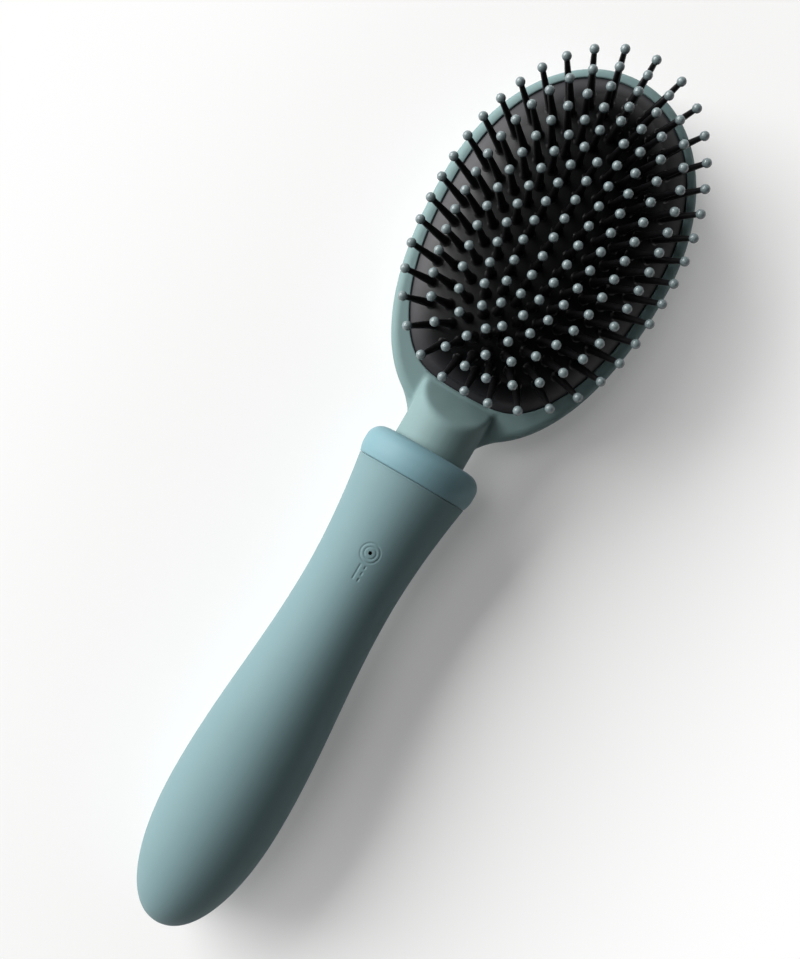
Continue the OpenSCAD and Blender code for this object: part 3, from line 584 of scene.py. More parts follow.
def grip_radius(y, depth=0.0):
    """Radius of the grip at places along the handle, or of a surface that lies deeper."""
    y = np.asarray(y, float)
    end = np.clip((belly_y - y) / (BELLY_FROM_TIP - depth), 0, 1)
    ease = (1 - np.cos(np.pi * np.clip((y - belly_y) / (waist_y - belly_y), 0, 1))) / 2
    flare = np.clip((y - waist_y) / WAIST_FROM_MOUTH, 0, None)
    round_end = (belly_r - depth) * (1 - end ** TIP_FULLNESS) ** (1 / TIP_FULLNESS)
    body = belly_r - depth - (belly_r - WAIST_R) * ease + (mouth_r - WAIST_R) * flare ** FLARE_LATENESS
    return np.where(y < belly_y, round_end, body)


print("grip radius at the belly, waist and mouth:", grip_radius([belly_y, waist_y, mouth_y]).round(2))

# %% [markdown]
# The rings and the mark are pressed into the skin by moving its points inwards. Each groove has a flat floor
# and sloped walls. The mark is a plain bar beside three dashes, the sign for direct current that stands by
# any such port, here turned to read from the side. The hole for the charging pin and the opening for the
# button are then cut right through.

# %% Grooves in the skin
RING_RADII = (2.47, 1.5)
GROOVE_W = 0.2
GROOVE_WALL = 0.16
GROOVE_DEPTH = 0.11
PIN_HOLE_R = 0.48
MARK_OFFSET = 5.4
MARK_LEN = 3.8
MARK_GAP = 1.4
DASH = 0.5
MARK_LINE = 0.24
MARK_DEPTH = 0.13


def groove(distance, width=GROOVE_W, depth=GROOVE_DEPTH):
    """Depth of a groove at distances from its middle line."""
    return depth * np.clip((width / 2 + GROOVE_WALL - np.abs(distance)) / GROOVE_WALL, 0, 1)


def port_grooves(x, y):
    """Depth pressed into the top of the grip at points near the port."""
    away = np.hypot(x, y - port_y)
    depth = sum(groove(away - radius) for radius in RING_RADII)
    along = y - port_y + MARK_OFFSET
    far_dash = (MARK_LEN - DASH) / 2
    strokes = [(-MARK_GAP / 2, 0, MARK_LEN)]
    strokes += [(MARK_GAP / 2, middle, DASH) for middle in (-far_dash, 0, far_dash)]
    for side, middle, length in strokes:
        beyond = np.maximum(np.abs(along - middle) - length / 2, 0)
        depth = np.maximum(depth, groove(np.hypot(beyond, x - side), MARK_LINE, MARK_DEPTH))
    return depth


print("deepest groove", port_grooves(np.array([RING_RADII[0]]), np.array([port_y])).max(), "mm")

# %% [markdown]
# Grooves a tenth of a millimetre deep need points every 0.15 mm, and the rest of the grip far fewer. A grid
# with uneven spacing gives both without a seam: its steps are fine near the port and near the button and
# coarse elsewhere. On the back a low round lip is raised about the button, so that a thumb finds it.

# %% Spacing of the grip's points
BUTTON_R = 3.8
BUTTON_GAP = 0.2
COARSE_STEP = 1.2
COARSE_TURN = 2.5
FINE_STEP = 0.15
FINE_MARGIN = 0.6
TIP_ROWS = 46

button_cut_r = BUTTON_R + BUTTON_GAP


def uneven(start, stop, coarse, fine, zones):
    """Places from start to stop, a coarse step apart, and a fine step apart inside the zones."""
    places = [start]
    while places[-1] < stop - 1e-9:
        close = any(a - coarse <= places[-1] < b for a, b in zones)
        places.append(min(stop, places[-1] + (fine if close else coarse)))
    return np.array(places)


def grip_profile(depth, end_y, fine_zones):
    """Radius and place along the outer or inner surface, from the round end to end_y."""
    quarter = np.radians(np.linspace(90, 0, TIP_ROWS))
    tip = belly_y - (BELLY_FROM_TIP - depth) * np.sin(quarter)
    rest = uneven(belly_y, end_y, COARSE_STEP, FINE_STEP, fine_zones)[1:]
    along = np.concatenate([tip, rest])
    radius = grip_radius(along, depth)
    radius[0] = 0
    return list(zip(radius, along))


def grip_angles(port_half):
    """Angles round the grip, fine at the port on top and at the button below."""
    top = port_half / WAIST_R
    bottom = (button_cut_r + 2 * FINE_MARGIN) / WAIST_R
    fine = [(-top, top), (-math.pi, bottom - math.pi), (math.pi - bottom, math.pi)]
    return uneven(-math.pi, math.pi, math.radians(COARSE_TURN), FINE_STEP / WAIST_R, fine)[:-1]


print("rows along the grip:", len(grip_profile(0, mouth_y, [])))

# %% [markdown]
# The sock is one loft: its outer surface, its round mouth and its inner surface follow each other in one list
# of rows, so the wall has a real thickness wherever a hole shows it. The holes are cut last, by exact
# booleans, because a cut made before the grooves would spoil the even grid that they are pressed into.

# %% The silicone sock
MOUTH_EDGE = 0.25
MOUTH_START = 12
LIP_SWELL = 0.3
LIP_MIDDLE = 0.45
LIP_HALF_W = 0.55
CUT_FROM, CUT_TO = 5, 20


def button_lip(x, y):
    """Height of the round lip at points of the back near the button."""
    away = np.hypot(x, y - port_y) - button_cut_r - LIP_MIDDLE
    swell = LIP_SWELL * np.clip(1 - np.abs(away) / LIP_HALF_W, 0, 1)
    return swell ** 2 * (3 - 2 * swell)


def silicone_sock():
    """The grip's skin: outer surface, round mouth and inner surface in one, with its two holes cut."""
    port_half = max(RING_RADII) + FINE_MARGIN
    zone = [(port_y - MARK_OFFSET - MARK_LEN / 2 - FINE_MARGIN, port_y + port_half)]
    angles = grip_angles(port_half)
    lip = mouth_y - SEAM
    outer = grip_profile(0, lip - MOUTH_EDGE, zone)
    corner = arc((grip_radius(lip) - MOUTH_EDGE, lip - MOUTH_EDGE), MOUTH_EDGE, MOUTH_START, 90, 6)
    inner = grip_profile(SLEEVE_T, lip, [])[::-1]
    rows = turned_rows(outer + corner + inner, angles)
    skin = rows[:len(outer)]
    x, y = skin[:, :, 0], skin[:, :, 1]
    facing = np.cos(angles)[None, :] > 0
    depth = np.where(facing, port_grooves(x, y), -button_lip(x, y))
    skin[:, :, 0] -= depth * np.sin(angles)
    skin[:, :, 2] -= depth * np.cos(angles)
    sock = loft("silicone_sock", rows, grip_silicone, caps=False)
    weld(sock)
    place = (0, port_y)
    pin_cut = post("pin_cut", PIN_HOLE_R, place, axis_z + CUT_FROM, axis_z + CUT_TO, grip_silicone)
    combine(sock, pin_cut, "DIFFERENCE")
    button_cut = post("button_cut", button_cut_r, place, axis_z - CUT_TO, axis_z - CUT_FROM, grip_silicone)
    return combine(sock, button_cut, "DIFFERENCE")


sock = silicone_sock()
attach(sock, "handle")
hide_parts("grip_sleeve")
print("silicone sock:", len(sock.data.polygons), "faces")

# %% [markdown]
# ## The collar
#
# The collar closes the handle and takes the neck. Its flank widens a little from the grip and turns over in a
# round shoulder. Inside it has a seat for the neck, a hole for the plug with a slot for the plug's key, and a
# wide bore that goes over the hard core.

# %% Collar
COLLAR_ROUND = 4.0
NECK_SLIP = 0.1
CORE_BORE = 0.83
CORE_GAP = 0.05
KEY_W = 1.8
COLLAR_EDGE = 0.25
END_INSET = 0.1
FLANK_PROUD = 0.13
FLANK_SHARE = 1 / 3
COLLAR_SIDES = 256

floor_y = box_mm("core_front")[1][1]


def collar_flank():
    """The side of the collar, from just proud of the grip to its full width."""
    start = mouth_r + FLANK_PROUD
    height = (collar_top_y - mouth_y) * FLANK_SHARE
    return [
        (start + (collar_r - start) * math.sin(rise * math.pi / 2), mouth_y + COLLAR_EDGE + height * rise)
        for rise in np.linspace(0, 1, 10)
    ]


def collar_ring():
    """The collar's section spun round the long axis, with the slot for the plug's key cut out."""
    bore = mouth_r * CORE_BORE
    seat_r, hole_r = neck_r + NECK_SLIP, plug_r + NECK_SLIP
    shoulder = (collar_r - COLLAR_ROUND, collar_top_y - COLLAR_ROUND)
    profile = (
        [(bore, mouth_y), (mouth_r - END_INSET, mouth_y)] + collar_flank()
        + arc(shoulder, COLLAR_ROUND, 0, 90, 16)
        + arc((seat_r + COLLAR_EDGE, collar_top_y - COLLAR_EDGE), COLLAR_EDGE, 90, 180, 5)
        + [(seat_r, neck_end_y - NECK_SLIP), (hole_r, neck_end_y - NECK_SLIP)]
        + [(hole_r, floor_y + CORE_GAP), (bore, floor_y + CORE_GAP)]
    )
    ring = turned("collar_ring", profile, collar_abs, COLLAR_SIDES)
    key_x = KEY_W / 2
    corners = [(-key_x, mouth_y), (key_x, mouth_y), (key_x, neck_end_y), (-key_x, neck_end_y)]
    slot_top = spigot_high[2] + NECK_SLIP
    slot = loft("key_slot", [[(x, y, z) for x, y in corners] for z in (axis_z, slot_top)], collar_abs)
    return combine(ring, slot, "DIFFERENCE")


collar = collar_ring()
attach(collar, "handle")
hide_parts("collar")
print("collar:", len(collar.data.polygons), "faces, from y", round(mouth_y, 2), "to", round(collar_top_y, 2))

# %% [markdown]
# ## Ovals
#
# The head and its cushion are drawn with one kind of oval: each half is a superellipse, and the lower end can
# be cut straight with a soft corner. The cushion's ovals form a family. Number 0 is its edge, 1 to 5 run
# under the rings of pins and 6 is the strip under the middle row.

# %% The family of ovals
CORNER_SHARPNESS = 24
EDGE_FULLNESS = (2.13, 2.25)
RING_FULLNESS = (1.98, 2.69)
FULLNESS_STEP = (0.04, -0.28)
LEAST_TAIL_FULLNESS = 1.5
RING_INSET = 5.56
STRIP_HALF_W = 1.14
RINGS = 5
CUSHION_RISE = 7.65
DOME_POWER = 3.15
EDGE_Z = 14.5
EDGE_CLIP = 47.0
EDGE_TAIL = EDGE_CLIP * 1.049
MIDDLE_SHIFT = 0.3765
FRONT_INSET, FRONT_STEP = 0.775, 0.679
TAIL_INSET, TAIL_STEP = 1.262, 0.591
NO_CLIP = 2
CLIP_FADE = 3

edge_w, edge_front = cushion_high[0], cushion_high[1]
seat_z = cushion_low[2]
ring_step = (edge_w - RING_INSET - STRIP_HALF_W) / RINGS


def oval(angle, half_w, front, tail, fullness, clip=None):
    """Distance from the middle to the outline, at angles from the crown."""
    ahead = np.cos(angle) >= 0
    power = np.where(ahead, *fullness)
    reach = np.where(ahead, front, tail)
    near = (np.abs(np.sin(angle) / half_w) ** power + np.abs(np.cos(angle) / reach) ** power) ** (1 / power)
    cut = np.where(ahead, 0, -np.cos(angle) / clip) if clip else np.zeros_like(angle)
    return (near ** CORNER_SHARPNESS + cut ** CORNER_SHARPNESS) ** (-1 / CORNER_SHARPNESS)


def mix(a, b, share):
    """What lies a share of the way from a to b."""
    return a + (b - a) * share


def cushion_row(u, angles, z=None, inset=0.0):
    """Points of cushion oval number u, on the dome unless z is given."""
    ring = max(u - 1, 0)
    share = min(u, 1)
    half_w = mix(edge_w, edge_w - RING_INSET, share) - ring_step * ring
    middle = -ring_step * MIDDLE_SHIFT * u
    front = edge_front - RING_INSET * FRONT_INSET * share - ring_step * FRONT_STEP * ring - middle
    tail = mix(EDGE_TAIL, EDGE_CLIP - RING_INSET * TAIL_INSET, share) - ring_step * TAIL_STEP * ring + middle
    fullness = [mix(e, r, share) + s * ring for e, r, s in zip(EDGE_FULLNESS, RING_FULLNESS, FULLNESS_STEP)]
    fullness[1] = max(fullness[1], LEAST_TAIL_FULLNESS)
    clip = tail * mix(EDGE_CLIP / EDGE_TAIL, NO_CLIP, share ** CLIP_FADE)
    away = oval(angles, half_w - inset, front - inset, tail - inset, fullness, clip - inset)
    if z is None:
        z = EDGE_Z + CUSHION_RISE * (1 - (half_w / edge_w) ** DOME_POWER)
    return np.stack([away * np.sin(angles), middle + away * np.cos(angles), np.full_like(angles, z)], axis=-1)


print("ovals", round(ring_step, 2), "mm apart")

# %% [markdown]
# ## The cushion
#
# A sheet of rubber 1.4 mm thick domes up from a bead that the rim holds. On the real brush it is one piece,
# so it is one skin here too, although the frame has it in rings. When the hair pushes the pins, the field of
# pins sinks and the flank gives.

# %% Cushion skin
CUSHION_T = 1.4
BEAD_W = 1.6
CUSHION_SIDES = 320
FLANK_ROWS = 25
DOME_ROWS = 61

around = once_round(CUSHION_SIDES)


def cushion_skin():
    """The domed sheet with its underside and its bead, all in one closed skin."""
    ovals = np.concatenate([np.linspace(0, 1, FLANK_ROWS), np.linspace(1, RINGS + 1, DOME_ROWS)[1:]])
    bead = [cushion_row(0, around, seat_z, BEAD_W), cushion_row(0, around, seat_z)]
    flank = [cushion_row(0, around, z) for z in np.linspace(seat_z, EDGE_Z, 4)[1:-1]]
    top = [cushion_row(u, around) for u in ovals]
    under = []
    for u in ovals[::-1]:
        row = cushion_row(u, around, None, BEAD_W * max(0, 1 - u))
        row[:, 2] -= CUSHION_T
        under.append(row)
    return loft("cushion", under + bead + flank + top, cushion_rubber)


cushion = cushion_skin()
bristle_names = [f"bristle_ring_{k}" for k in range(1, RINGS + 1)] + ["bristle_row"]
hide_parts("cushion_skirt", *bristle_names)
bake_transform(cushion)
print("cushion:", len(cushion.data.polygons), "faces")

# %% [markdown]
# ## The pins
#
# Each pin is a tapered nylon rod that stands square to the dome, with a small fillet where it leaves the
# rubber and a ball on its end. The balls are exact in the frame, and each four-sided pin ends in a square at
# the middle of its ball. That square's plane gives the direction of the pin, so the round pins need no places
# of their own, and they can't drift from the frame.

# %% Find the balls and the directions of the pins
BALL_APART = 1.5
NEAR_BALL = 1.0


def islands(mesh):
    """Points of a mesh in millimetres, and for each one the number of the separate body that it is in."""
    points = np.array([v.co for v in mesh.vertices]) / MM
    joined = np.arange(len(points))
    edges = np.array([e.vertices for e in mesh.edges])
    while True:
        low = np.minimum(joined[edges[:, 0]], joined[edges[:, 1]])
        before = joined.copy()
        np.minimum.at(joined, edges[:, 0], low)
        np.minimum.at(joined, edges[:, 1], low)
        joined = joined[joined]
        if (joined == before).all():
            break
    return points, joined


def ball_middles(name):
    """Middles of the ball tips of one ring: bodies whose points lie close together are one ball."""
    points, joined = islands(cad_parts[name].data)
    middles = []
    for label in np.unique(joined):
        part = points[joined == label]
        middle = (part.min(0) + part.max(0)) / 2
        if not any(np.linalg.norm(middle - m) < BALL_APART for m in middles):
            middles.append(middle)
    return np.array(middles)


def pin_heading(bristle_name, ball):
    """Unit vector along a pin, from the corners of the square at its top."""
    points = np.array([v.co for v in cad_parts[bristle_name].data.vertices]) / MM
    near = points[np.linalg.norm(points - ball, axis=1) < NEAR_BALL]
    corners = np.unique(near.round(3), axis=0) - near.mean(0)
    across = np.cross(corners[0], corners[np.argmin(np.abs(corners[1:] @ corners[0])) + 1])
    heading = across / np.linalg.norm(across)
    return heading if heading[2] > 0 else -heading


BALLS = {}
for name in [f"tips_ring_{k}" for k in range(1, RINGS + 1)] + ["tips_row"]:
    BALLS[name] = ball_middles(name)
print("balls in all:", sum(map(len, BALLS.values())))

# %% [markdown]
# A pin's shape is a list of heights and radii: it starts inside the rubber, flares in a small fillet at its
# foot and tapers to its ball. The list is swept along each pin's direction, and all the pins make one mesh,
# because they sink and rise together.

# %% Round pins
PIN_LEN = 15.0
PIN_SIDES = 20
PIN_SHAPE = [  # height above the rubber, radius
    (-0.7, 1.7), (-0.05, 1.62), (0.12, 1.4), (0.35, 1.22), (0.7, 1.12), (1.2, 1.08),
    (5.5, 0.95), (10.0, 0.8), (14.0, 0.68), (14.9, 0.62),
]


def round_pins():
    """All the pins as one mesh."""
    steps = once_round(PIN_SIDES)
    points, faces = [], []
    for tips_name, balls in BALLS.items():
        for ball in balls:
            heading = pin_heading(tips_name.replace("tips", "bristle"), ball)
            side = np.cross(heading, [0.0, 1.0, 0.0] if abs(heading[1]) < 0.9 else [1.0, 0.0, 0.0])
            side /= np.linalg.norm(side)
            other = np.cross(heading, side)
            foot = ball - PIN_LEN * heading
            first = len(points)
            for height, radius in PIN_SHAPE:
                ring = foot + height * heading + radius * (
                    np.cos(steps)[:, None] * side + np.sin(steps)[:, None] * other)
                points.extend(ring)
            faces += (grid_faces(len(PIN_SHAPE), PIN_SIDES) + first).tolist()
            faces.append(list(range(first, first + PIN_SIDES))[::-1])
            faces.append(list(range(len(points) - PIN_SIDES, len(points))))
    return make_piece("nylon_pins", points, faces, pin_nylon)


pins = round_pins()
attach(pins, "pin_field")
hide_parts(*bristle_names)
print("pins:", len(pins.data.polygons), "faces")

# %% [markdown]
# ## The head
#
# The back of the head is a shallow bowl and the neck is a round bar that runs into it, cut off by a ramp that
# falls to the cushion. What makes it look moulded is how they meet: soft valleys and no edges. So the two are
# first melted into one rough skin, and then each point of that skin is slid onto a smooth surface, given as a
# field of distances. Two fields join by a soft minimum, whose width sets the radius of the valley.

# %% The field of the head
HEAD_FULLNESS = (2.05, 2.25)
HEAD_TAIL = 56.4
BELLY_Z = 12.6
RIM_ROUND = 2.3
LAND_SHARE = 14 / 32
RAMP_TOP = (-55.0, 25.3)
RAMP_FOOT = (-47.0, 15.0)
VALLEY = 7.0
RAMP_EDGE = 1.2
RAMP_VALLEY = 1.2
VALLEY_TOP = 0.5
VALLEY_FADE = 4
NECK_STOP_Y = -42
STEEP_LEAST = 0.2

head_w, head_front = head_high[0], head_high[1]
rim_z = 15.0  # the neck stands higher than the rim, so the head's box doesn't say this


def soft_min(a, b, width):
    """The smaller of two fields, with a round valley where they meet."""
    share = np.clip(width - np.abs(a - b), 0, None) / width
    return np.minimum(a, b) - share ** 2 * width / 4


def bowl_field(p):
    """The rim's round edge above the belly line and a quarter ellipse, down to the flat land, below it."""
    angle, away = np.arctan2(p[:, 0], p[:, 1]), np.hypot(p[:, 0], p[:, 1])
    edge = oval(angle, head_w, head_front, HEAD_TAIL, HEAD_FULLNESS)
    out = np.clip((away / edge - LAND_SHARE) / (1 - LAND_SHARE), 0, None)
    down = np.clip((BELLY_Z - p[:, 2]) / BELLY_Z, 0, None)
    under = np.hypot(out, down) - 1
    out = np.clip((away - edge + RIM_ROUND) / RIM_ROUND, 0, None)
    up = np.clip((p[:, 2] - BELLY_Z) / (rim_z - BELLY_Z), 0, None)
    return np.where(p[:, 2] < BELLY_Z, under * BELLY_Z, (np.hypot(out, up) - 1) * RIM_ROUND)


def neck_field(p):
    """A round bar cut off by the ramp, with a soft edge between the two."""
    round_bar = np.hypot(p[:, 0], p[:, 2] - axis_z) - neck_r
    fall = math.atan2(RAMP_TOP[1] - RAMP_FOOT[1], RAMP_FOOT[0] - RAMP_TOP[0])
    ramp = (p[:, 1] - RAMP_TOP[0]) * math.sin(fall) + (p[:, 2] - RAMP_TOP[1]) * math.cos(fall)
    body = -soft_min(-round_bar, -ramp, RAMP_EDGE)
    return np.maximum(np.maximum(body, neck_end_y - p[:, 1]), p[:, 1] - NECK_STOP_Y)


def true_distance(field, p, reach=0.05):
    """A field divided by its own steepness, so that it reads in millimetres near its surface."""
    steps = np.eye(3) * reach
    slope = np.stack([(field(p + s) - field(p - s)) / (2 * reach) for s in steps], axis=-1)
    return field(p) / np.maximum(np.linalg.norm(slope, axis=1), STEEP_LEAST), slope


def head_field(p):
    """Bowl and neck together. The valley between them is wide low down and narrow up at the ramp."""
    bowl, _ = true_distance(bowl_field, p)
    neck = neck_field(p)
    low = np.clip((rim_z - VALLEY_TOP - p[:, 2]) / VALLEY_FADE, 0, 1)
    return soft_min(bowl, neck, RAMP_VALLEY + (VALLEY - RAMP_VALLEY) * low * low * (3 - 2 * low))


print("the ramp falls from z", RAMP_TOP[1], "to", RAMP_FOOT[1], "over", RAMP_FOOT[0] - RAMP_TOP[0], "mm")

# %% [markdown]
# The rough skin starts as two plain lofts, a bowl and a bar. A voxel remesh melts them into one mesh of even
# quads 0.6 mm wide, and eight rounds of sliding bring every point onto the field's surface. That gives a
# smooth skin with even points, which a boolean of the two lofts would not.

# %% The head's skin
HEAD_POINT_STEP = 0.6
HEAD_SIDES = 240
NECK_SIDES = 96
NECK_ROW_STEP = 0.7
SLIDE_MOST = 0.8
NECK_LEAST_Z = 8


def bowl_rows(angles):
    """Ovals from the flat land up round the belly and over the rim."""
    edge = oval(angles, head_w, head_front, HEAD_TAIL, HEAD_FULLNESS)
    across = np.stack([np.sin(angles), np.cos(angles)], axis=-1)
    rows = []
    for turn in np.radians(np.linspace(0, 90, 19)):
        xy = across * (edge * mix(LAND_SHARE, 1, math.sin(turn)))[:, None]
        rows.append(np.column_stack([xy, np.full(len(angles), BELLY_Z * (1 - math.cos(turn)))]))
    for turn in np.radians(np.linspace(15, 90, 6)):
        xy = across * (edge - RIM_ROUND * (1 - math.cos(turn)))[:, None]
        rows.append(np.column_stack([xy, np.full(len(angles), BELLY_Z + (rim_z - BELLY_Z) * math.sin(turn))]))
    return rows


def neck_rows():
    """Circles along the neck, cut flat where the ramp has taken their top."""
    turn = once_round(NECK_SIDES)
    rows = []
    for y in np.arange(neck_end_y, NECK_STOP_Y, NECK_ROW_STEP):
        ramp_z = RAMP_TOP[1] - (y - RAMP_TOP[0]) * (RAMP_TOP[1] - RAMP_FOOT[1]) / (RAMP_FOOT[0] - RAMP_TOP[0])
        z = np.minimum(axis_z + neck_r * np.cos(turn), max(ramp_z, NECK_LEAST_Z))
        rows.append(np.stack([neck_r * np.sin(turn), np.full(NECK_SIDES, y), z], axis=-1))
    return rows


def slide_onto(piece, field, rounds=8):
    """Moves each point of a piece along the field's slope until it lies on the field's surface."""
    mesh = piece.data
    points = np.array([v.co for v in mesh.vertices]) / MM
    for _ in range(rounds):
        distance, slope = true_distance(field, points)
        steep = np.maximum(np.linalg.norm(slope, axis=1), STEEP_LEAST)
        points -= np.clip(distance, -SLIDE_MOST, SLIDE_MOST)[:, None] * slope / steep[:, None]
    mesh.vertices.foreach_set("co", (points * MM).astype(np.float32).ravel())
    mesh.update()
    return float(np.abs(distance).max())


def head_skin():
    """Bowl and neck melted into one and slid onto the field."""
    outline = once_round(HEAD_SIDES)
    melt = loft("head", bowl_rows(outline), head_paint)
    neck = loft("neck", neck_rows(), head_paint)
    both = bmesh.new()
    both.from_mesh(melt.data)
    both.from_mesh(neck.data)
    both.to_mesh(melt.data)
    both.free()
    bpy.data.objects.remove(neck)
    step = melt.modifiers.new("melt", "REMESH")
    step.mode = "VOXEL"
    step.voxel_size = HEAD_POINT_STEP * MM
    step.use_smooth_shade = True
    settle(melt)
    melt.data.materials.clear()
    melt.data.materials.append(head_paint)
    print("farthest point off the surface:", round(slide_onto(melt, head_field), 3), "mm")
    return melt


head = head_skin()
print("head skin:", len(head.data.polygons), "faces")

# %% [markdown]
# The cushion's bead sits in a pocket in the rim, and under the bead a ledge and a hollow hold the air. The
# edge of the pocket is eased by a few tenths of a millimetre, which is what catches the light in a thin line
# there.

# %% Pocket and bore
FLOOR_T = 2.8
AIR_SHARE = 0.45
SHANK_R = 5.15
SHANK_LEN = 11.0
POCKET_EASE = 0.35
GAP = 0.05
ABOVE_RIM = 12


def cut_pocket(piece):
    """Cuts the air hollow, the ledge, the pocket with its eased edge and the bore for the plug."""
    rows = []
    for turn in np.radians(np.linspace(90, 0, 10)):
        z = seat_z - (seat_z - FLOOR_T) * math.sin(turn)
        row = cushion_row(0, around, z, BEAD_W)
        row[:, :2] *= mix(AIR_SHARE, 1, math.cos(turn))
        rows.append(row)
    rows += [cushion_row(0, around, seat_z - GAP, BEAD_W), cushion_row(0, around, seat_z - GAP, -GAP)]
    for turn in np.radians(np.linspace(0, 90, 6)):
        z = rim_z - POCKET_EASE * (1 - math.sin(turn))
        rows.append(cushion_row(0, around, z, -GAP - POCKET_EASE * (1 - math.cos(turn))))
    rows.append(cushion_row(0, around, rim_z + ABOVE_RIM, -GAP - POCKET_EASE - GAP))
    combine(piece, loft("pocket", rows[::-1], head_paint), "DIFFERENCE")
    bore = bar("shank_bore", SHANK_R + GAP, neck_end_y - 1, neck_end_y + SHANK_LEN + GAP, head_paint)
    combine(piece, bore, "DIFFERENCE")


cut_pocket(head)
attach(head, "head")
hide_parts("head_shell")
print("head:", len(head.data.polygons), "faces")

# %% [markdown]
# ## The table
#
# The brush lies on a plain white sheet, as in a product studio. Close to the brush the sheet is real card: it
# takes the shadow, its coating is a touch uneven over some centimetres, and its tooth is drawn at 0.6 mm,
# coarser than it is. Further out it turns, for the camera and for reflections alone, into even white, and so
# does the wall that stands nine metres off. A little of that white is there right beside the brush too, and
# keeps the shadow light. None of it lights the brush.

# %% White sheet and backdrop
WHITE_LEAST = 0.18
WHITE_FROM = 25
WHITE_TO = 150
FADE_ALONG = 0.42  # the fade is that much slower along the brush
SWEEP_R = 9000
SWEEP_H = 3000
SWEEP_SIDES = 96
BRUSH_MIDDLE_Y = -70
PURE_WHITE = (1.0, 1.0, 1.0, 1.0)


def seen_share(tree):
    """1 for a ray from the camera or from a gloss or glass, 0 for a ray that carries light."""
    ray = add(tree, "LightPath").outputs
    either = add(tree, "Math", {0: ray["Is Camera Ray"], 1: ray["Is Glossy Ray"]}, operation="MAXIMUM")
    seen = add(tree, "Math", {0: either.outputs[0], 1: ray["Is Transmission Ray"]}, operation="MAXIMUM")
    return seen.outputs[0]


def coated_sheet():
    """Matt coated card that fades into even white away from the brush."""
    material, tree, shader, place = start_material("coated_white_board")
    drift = add(tree, "TexNoise", {"Vector": place, "Scale": per_mm(60), "Detail": 2.0})
    tooth = add(tree, "TexNoise", {"Vector": place, "Scale": per_mm(0.6), "Detail": 2.0})
    give_finish(
        tree, shader, drift.outputs["Fac"], ("#F8F7F6", "#F6F5F4"), 0.8, [(tooth.outputs["Fac"], 0.05, 0.02)],
        {"Specular IOR Level": 0.2})
    from_brush = add(tree, "VectorMath", {0: place, 1: (0.0, BRUSH_MIDDLE_Y * MM, 0.0)}, operation="SUBTRACT")
    squeeze = (1.0, FADE_ALONG, 1.0)
    squeezed = add(tree, "VectorMath", {0: from_brush.outputs[0], 1: squeeze}, operation="MULTIPLY")
    away = add(tree, "VectorMath", {0: squeezed.outputs[0]}, operation="LENGTH")
    fade = add(tree, "MapRange", {
        "Value": away.outputs["Value"], "From Min": WHITE_FROM * MM, "From Max": WHITE_TO * MM,
        "To Min": WHITE_LEAST,
    }, interpolation_type="SMOOTHSTEP")
    share = add(tree, "Math", {0: fade.outputs[0], 1: seen_share(tree)}, operation="MULTIPLY")
    white = add(tree, "Emission", {"Color": PURE_WHITE, "Strength": 1.0})
    surface = add(tree, "MixShader", {0: share.outputs[0], 1: shader.outputs[0], 2: white.outputs[0]})
    plug_in(tree, tree.nodes["Material Output"], {"Surface": surface.outputs[0]})
    return material


def white_sweep():
    """White for the camera and for reflections, and clear for light."""
    material, tree, _, _ = start_material("white_sweep")
    clear = add(tree, "BsdfTransparent")
    white = add(tree, "Emission", {"Color": PURE_WHITE, "Strength": 1.0})
    surface = add(tree, "MixShader", {0: seen_share(tree), 1: clear.outputs[0], 2: white.outputs[0]})
    plug_in(tree, tree.nodes["Material Output"], {"Surface": surface.outputs[0]})
    return material


turns = once_round(SWEEP_SIDES)
rim = np.stack([SWEEP_R * np.cos(turns), SWEEP_R * np.sin(turns), 0 * turns], axis=-1)
sheet = make_piece("white_sheet", rim, [list(range(SWEEP_SIDES))], coated_sheet())
wall = loft("white_backdrop", [rim, rim + [0, 0, SWEEP_H]], white_sweep(), caps=False)
print("sheet", 2 * SWEEP_R / 1000, "m wide, wall", SWEEP_H / 1000, "m high")

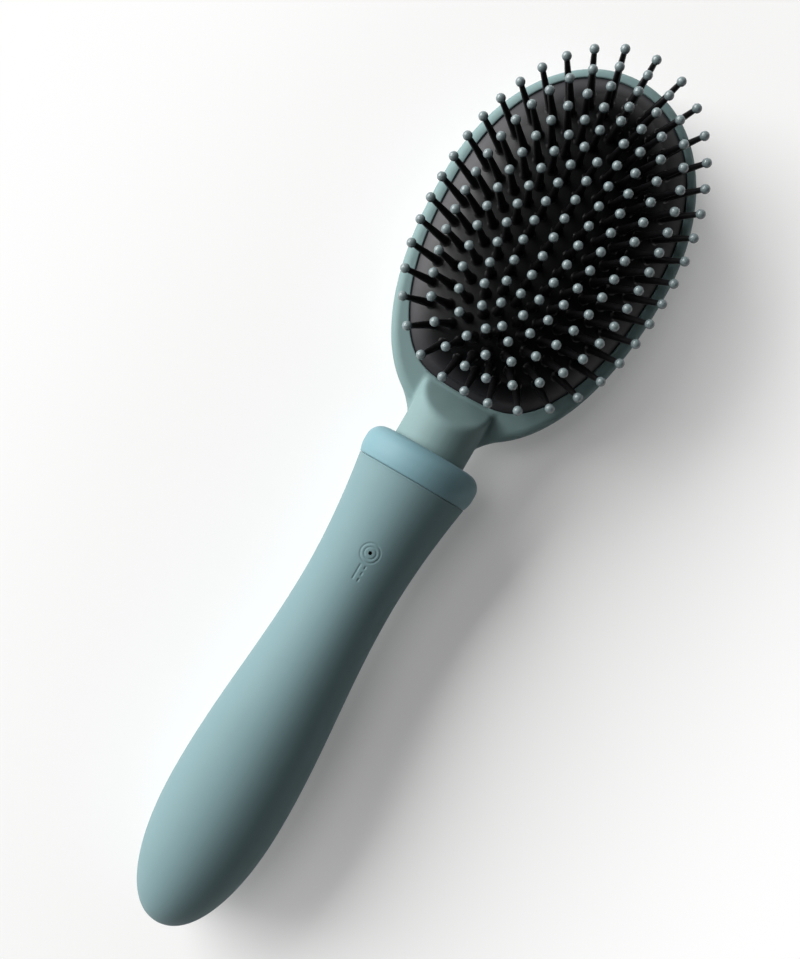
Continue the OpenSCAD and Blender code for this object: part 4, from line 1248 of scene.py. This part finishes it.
# %% [markdown]
# ## Light
#
# A broad, soft window stands to the left, low enough to rake across the pins, and a much weaker panel hangs
# almost overhead so that the shadow keeps some light. The window is eight metres away and the panel four, so
# the light is even over the whole brush. The room round them is nearly dark, because the shaded side of the
# handle should fall off as deeply as it does in such a picture.

# %% Light
LIT_POINT = (0, BRUSH_MIDDLE_Y, 15)
ROOM_LEVEL = 0.03


def panel(name, turn, rise, away, size, level):
    """A soft panel. Level 1 lights a white card that faces it just to white."""
    light = bpy.data.lights.new(name, "AREA")
    light.shape = "RECTANGLE"
    light.size, light.size_y = size
    light.energy = level * math.pi ** 2 * away ** 2
    turn, rise = math.radians(turn), math.radians(rise)
    toward = Vector((math.cos(rise) * math.cos(turn), math.cos(rise) * math.sin(turn), math.sin(rise)))
    piece = bpy.data.objects.new(name, light)
    piece.location = Vector(LIT_POINT) * MM + toward * away
    piece.rotation_euler = toward.to_track_quat("Z", "Y").to_euler()
    bpy.context.scene.collection.objects.link(piece)


panel("window", turn=-186, rise=25, away=8, size=(8.0, 6.0), level=2.32)
panel("overhead_panel", turn=-186, rise=68, away=4, size=(1.5, 1.5), level=0.15)

world = bpy.data.worlds.new("room")
world.use_nodes = True
background = world.node_tree.nodes["Background"]
plug_in(world.node_tree, background, {"Color": PURE_WHITE, "Strength": ROOM_LEVEL})
bpy.context.scene.world = world
print("lights:", [lamp.name for lamp in bpy.data.lights])

# %% [markdown]
# ## Camera
#
# The camera looks straight down from a third of a metre, so near that the outer pins lean outwards in the
# picture, and it is turned so that the brush lies on the slant. Its height and lens follow from how much the
# pins' tips are shifted from their feet.

# %% Camera
CAMERA_PLACE = (-2.7125, -72.825, 340.6)
CAMERA_TURN = 30.13
SENSOR_H = 36
FOCAL_LEN = 48.8

camera = bpy.data.cameras.new("camera")
camera.sensor_fit = "VERTICAL"
camera.sensor_height = SENSOR_H
camera.lens = FOCAL_LEN
camera_object = bpy.data.objects.new("camera", camera)
camera_object.location = [along * MM for along in CAMERA_PLACE]
camera_object.rotation_euler = (0, 0, math.radians(CAMERA_TURN))
bpy.context.scene.collection.objects.link(camera_object)
bpy.context.scene.camera = camera_object
bpy.context.scene.view_settings.view_transform = "Standard"
print("camera", round(camera_object.location.z, 3), "m above the sheet")
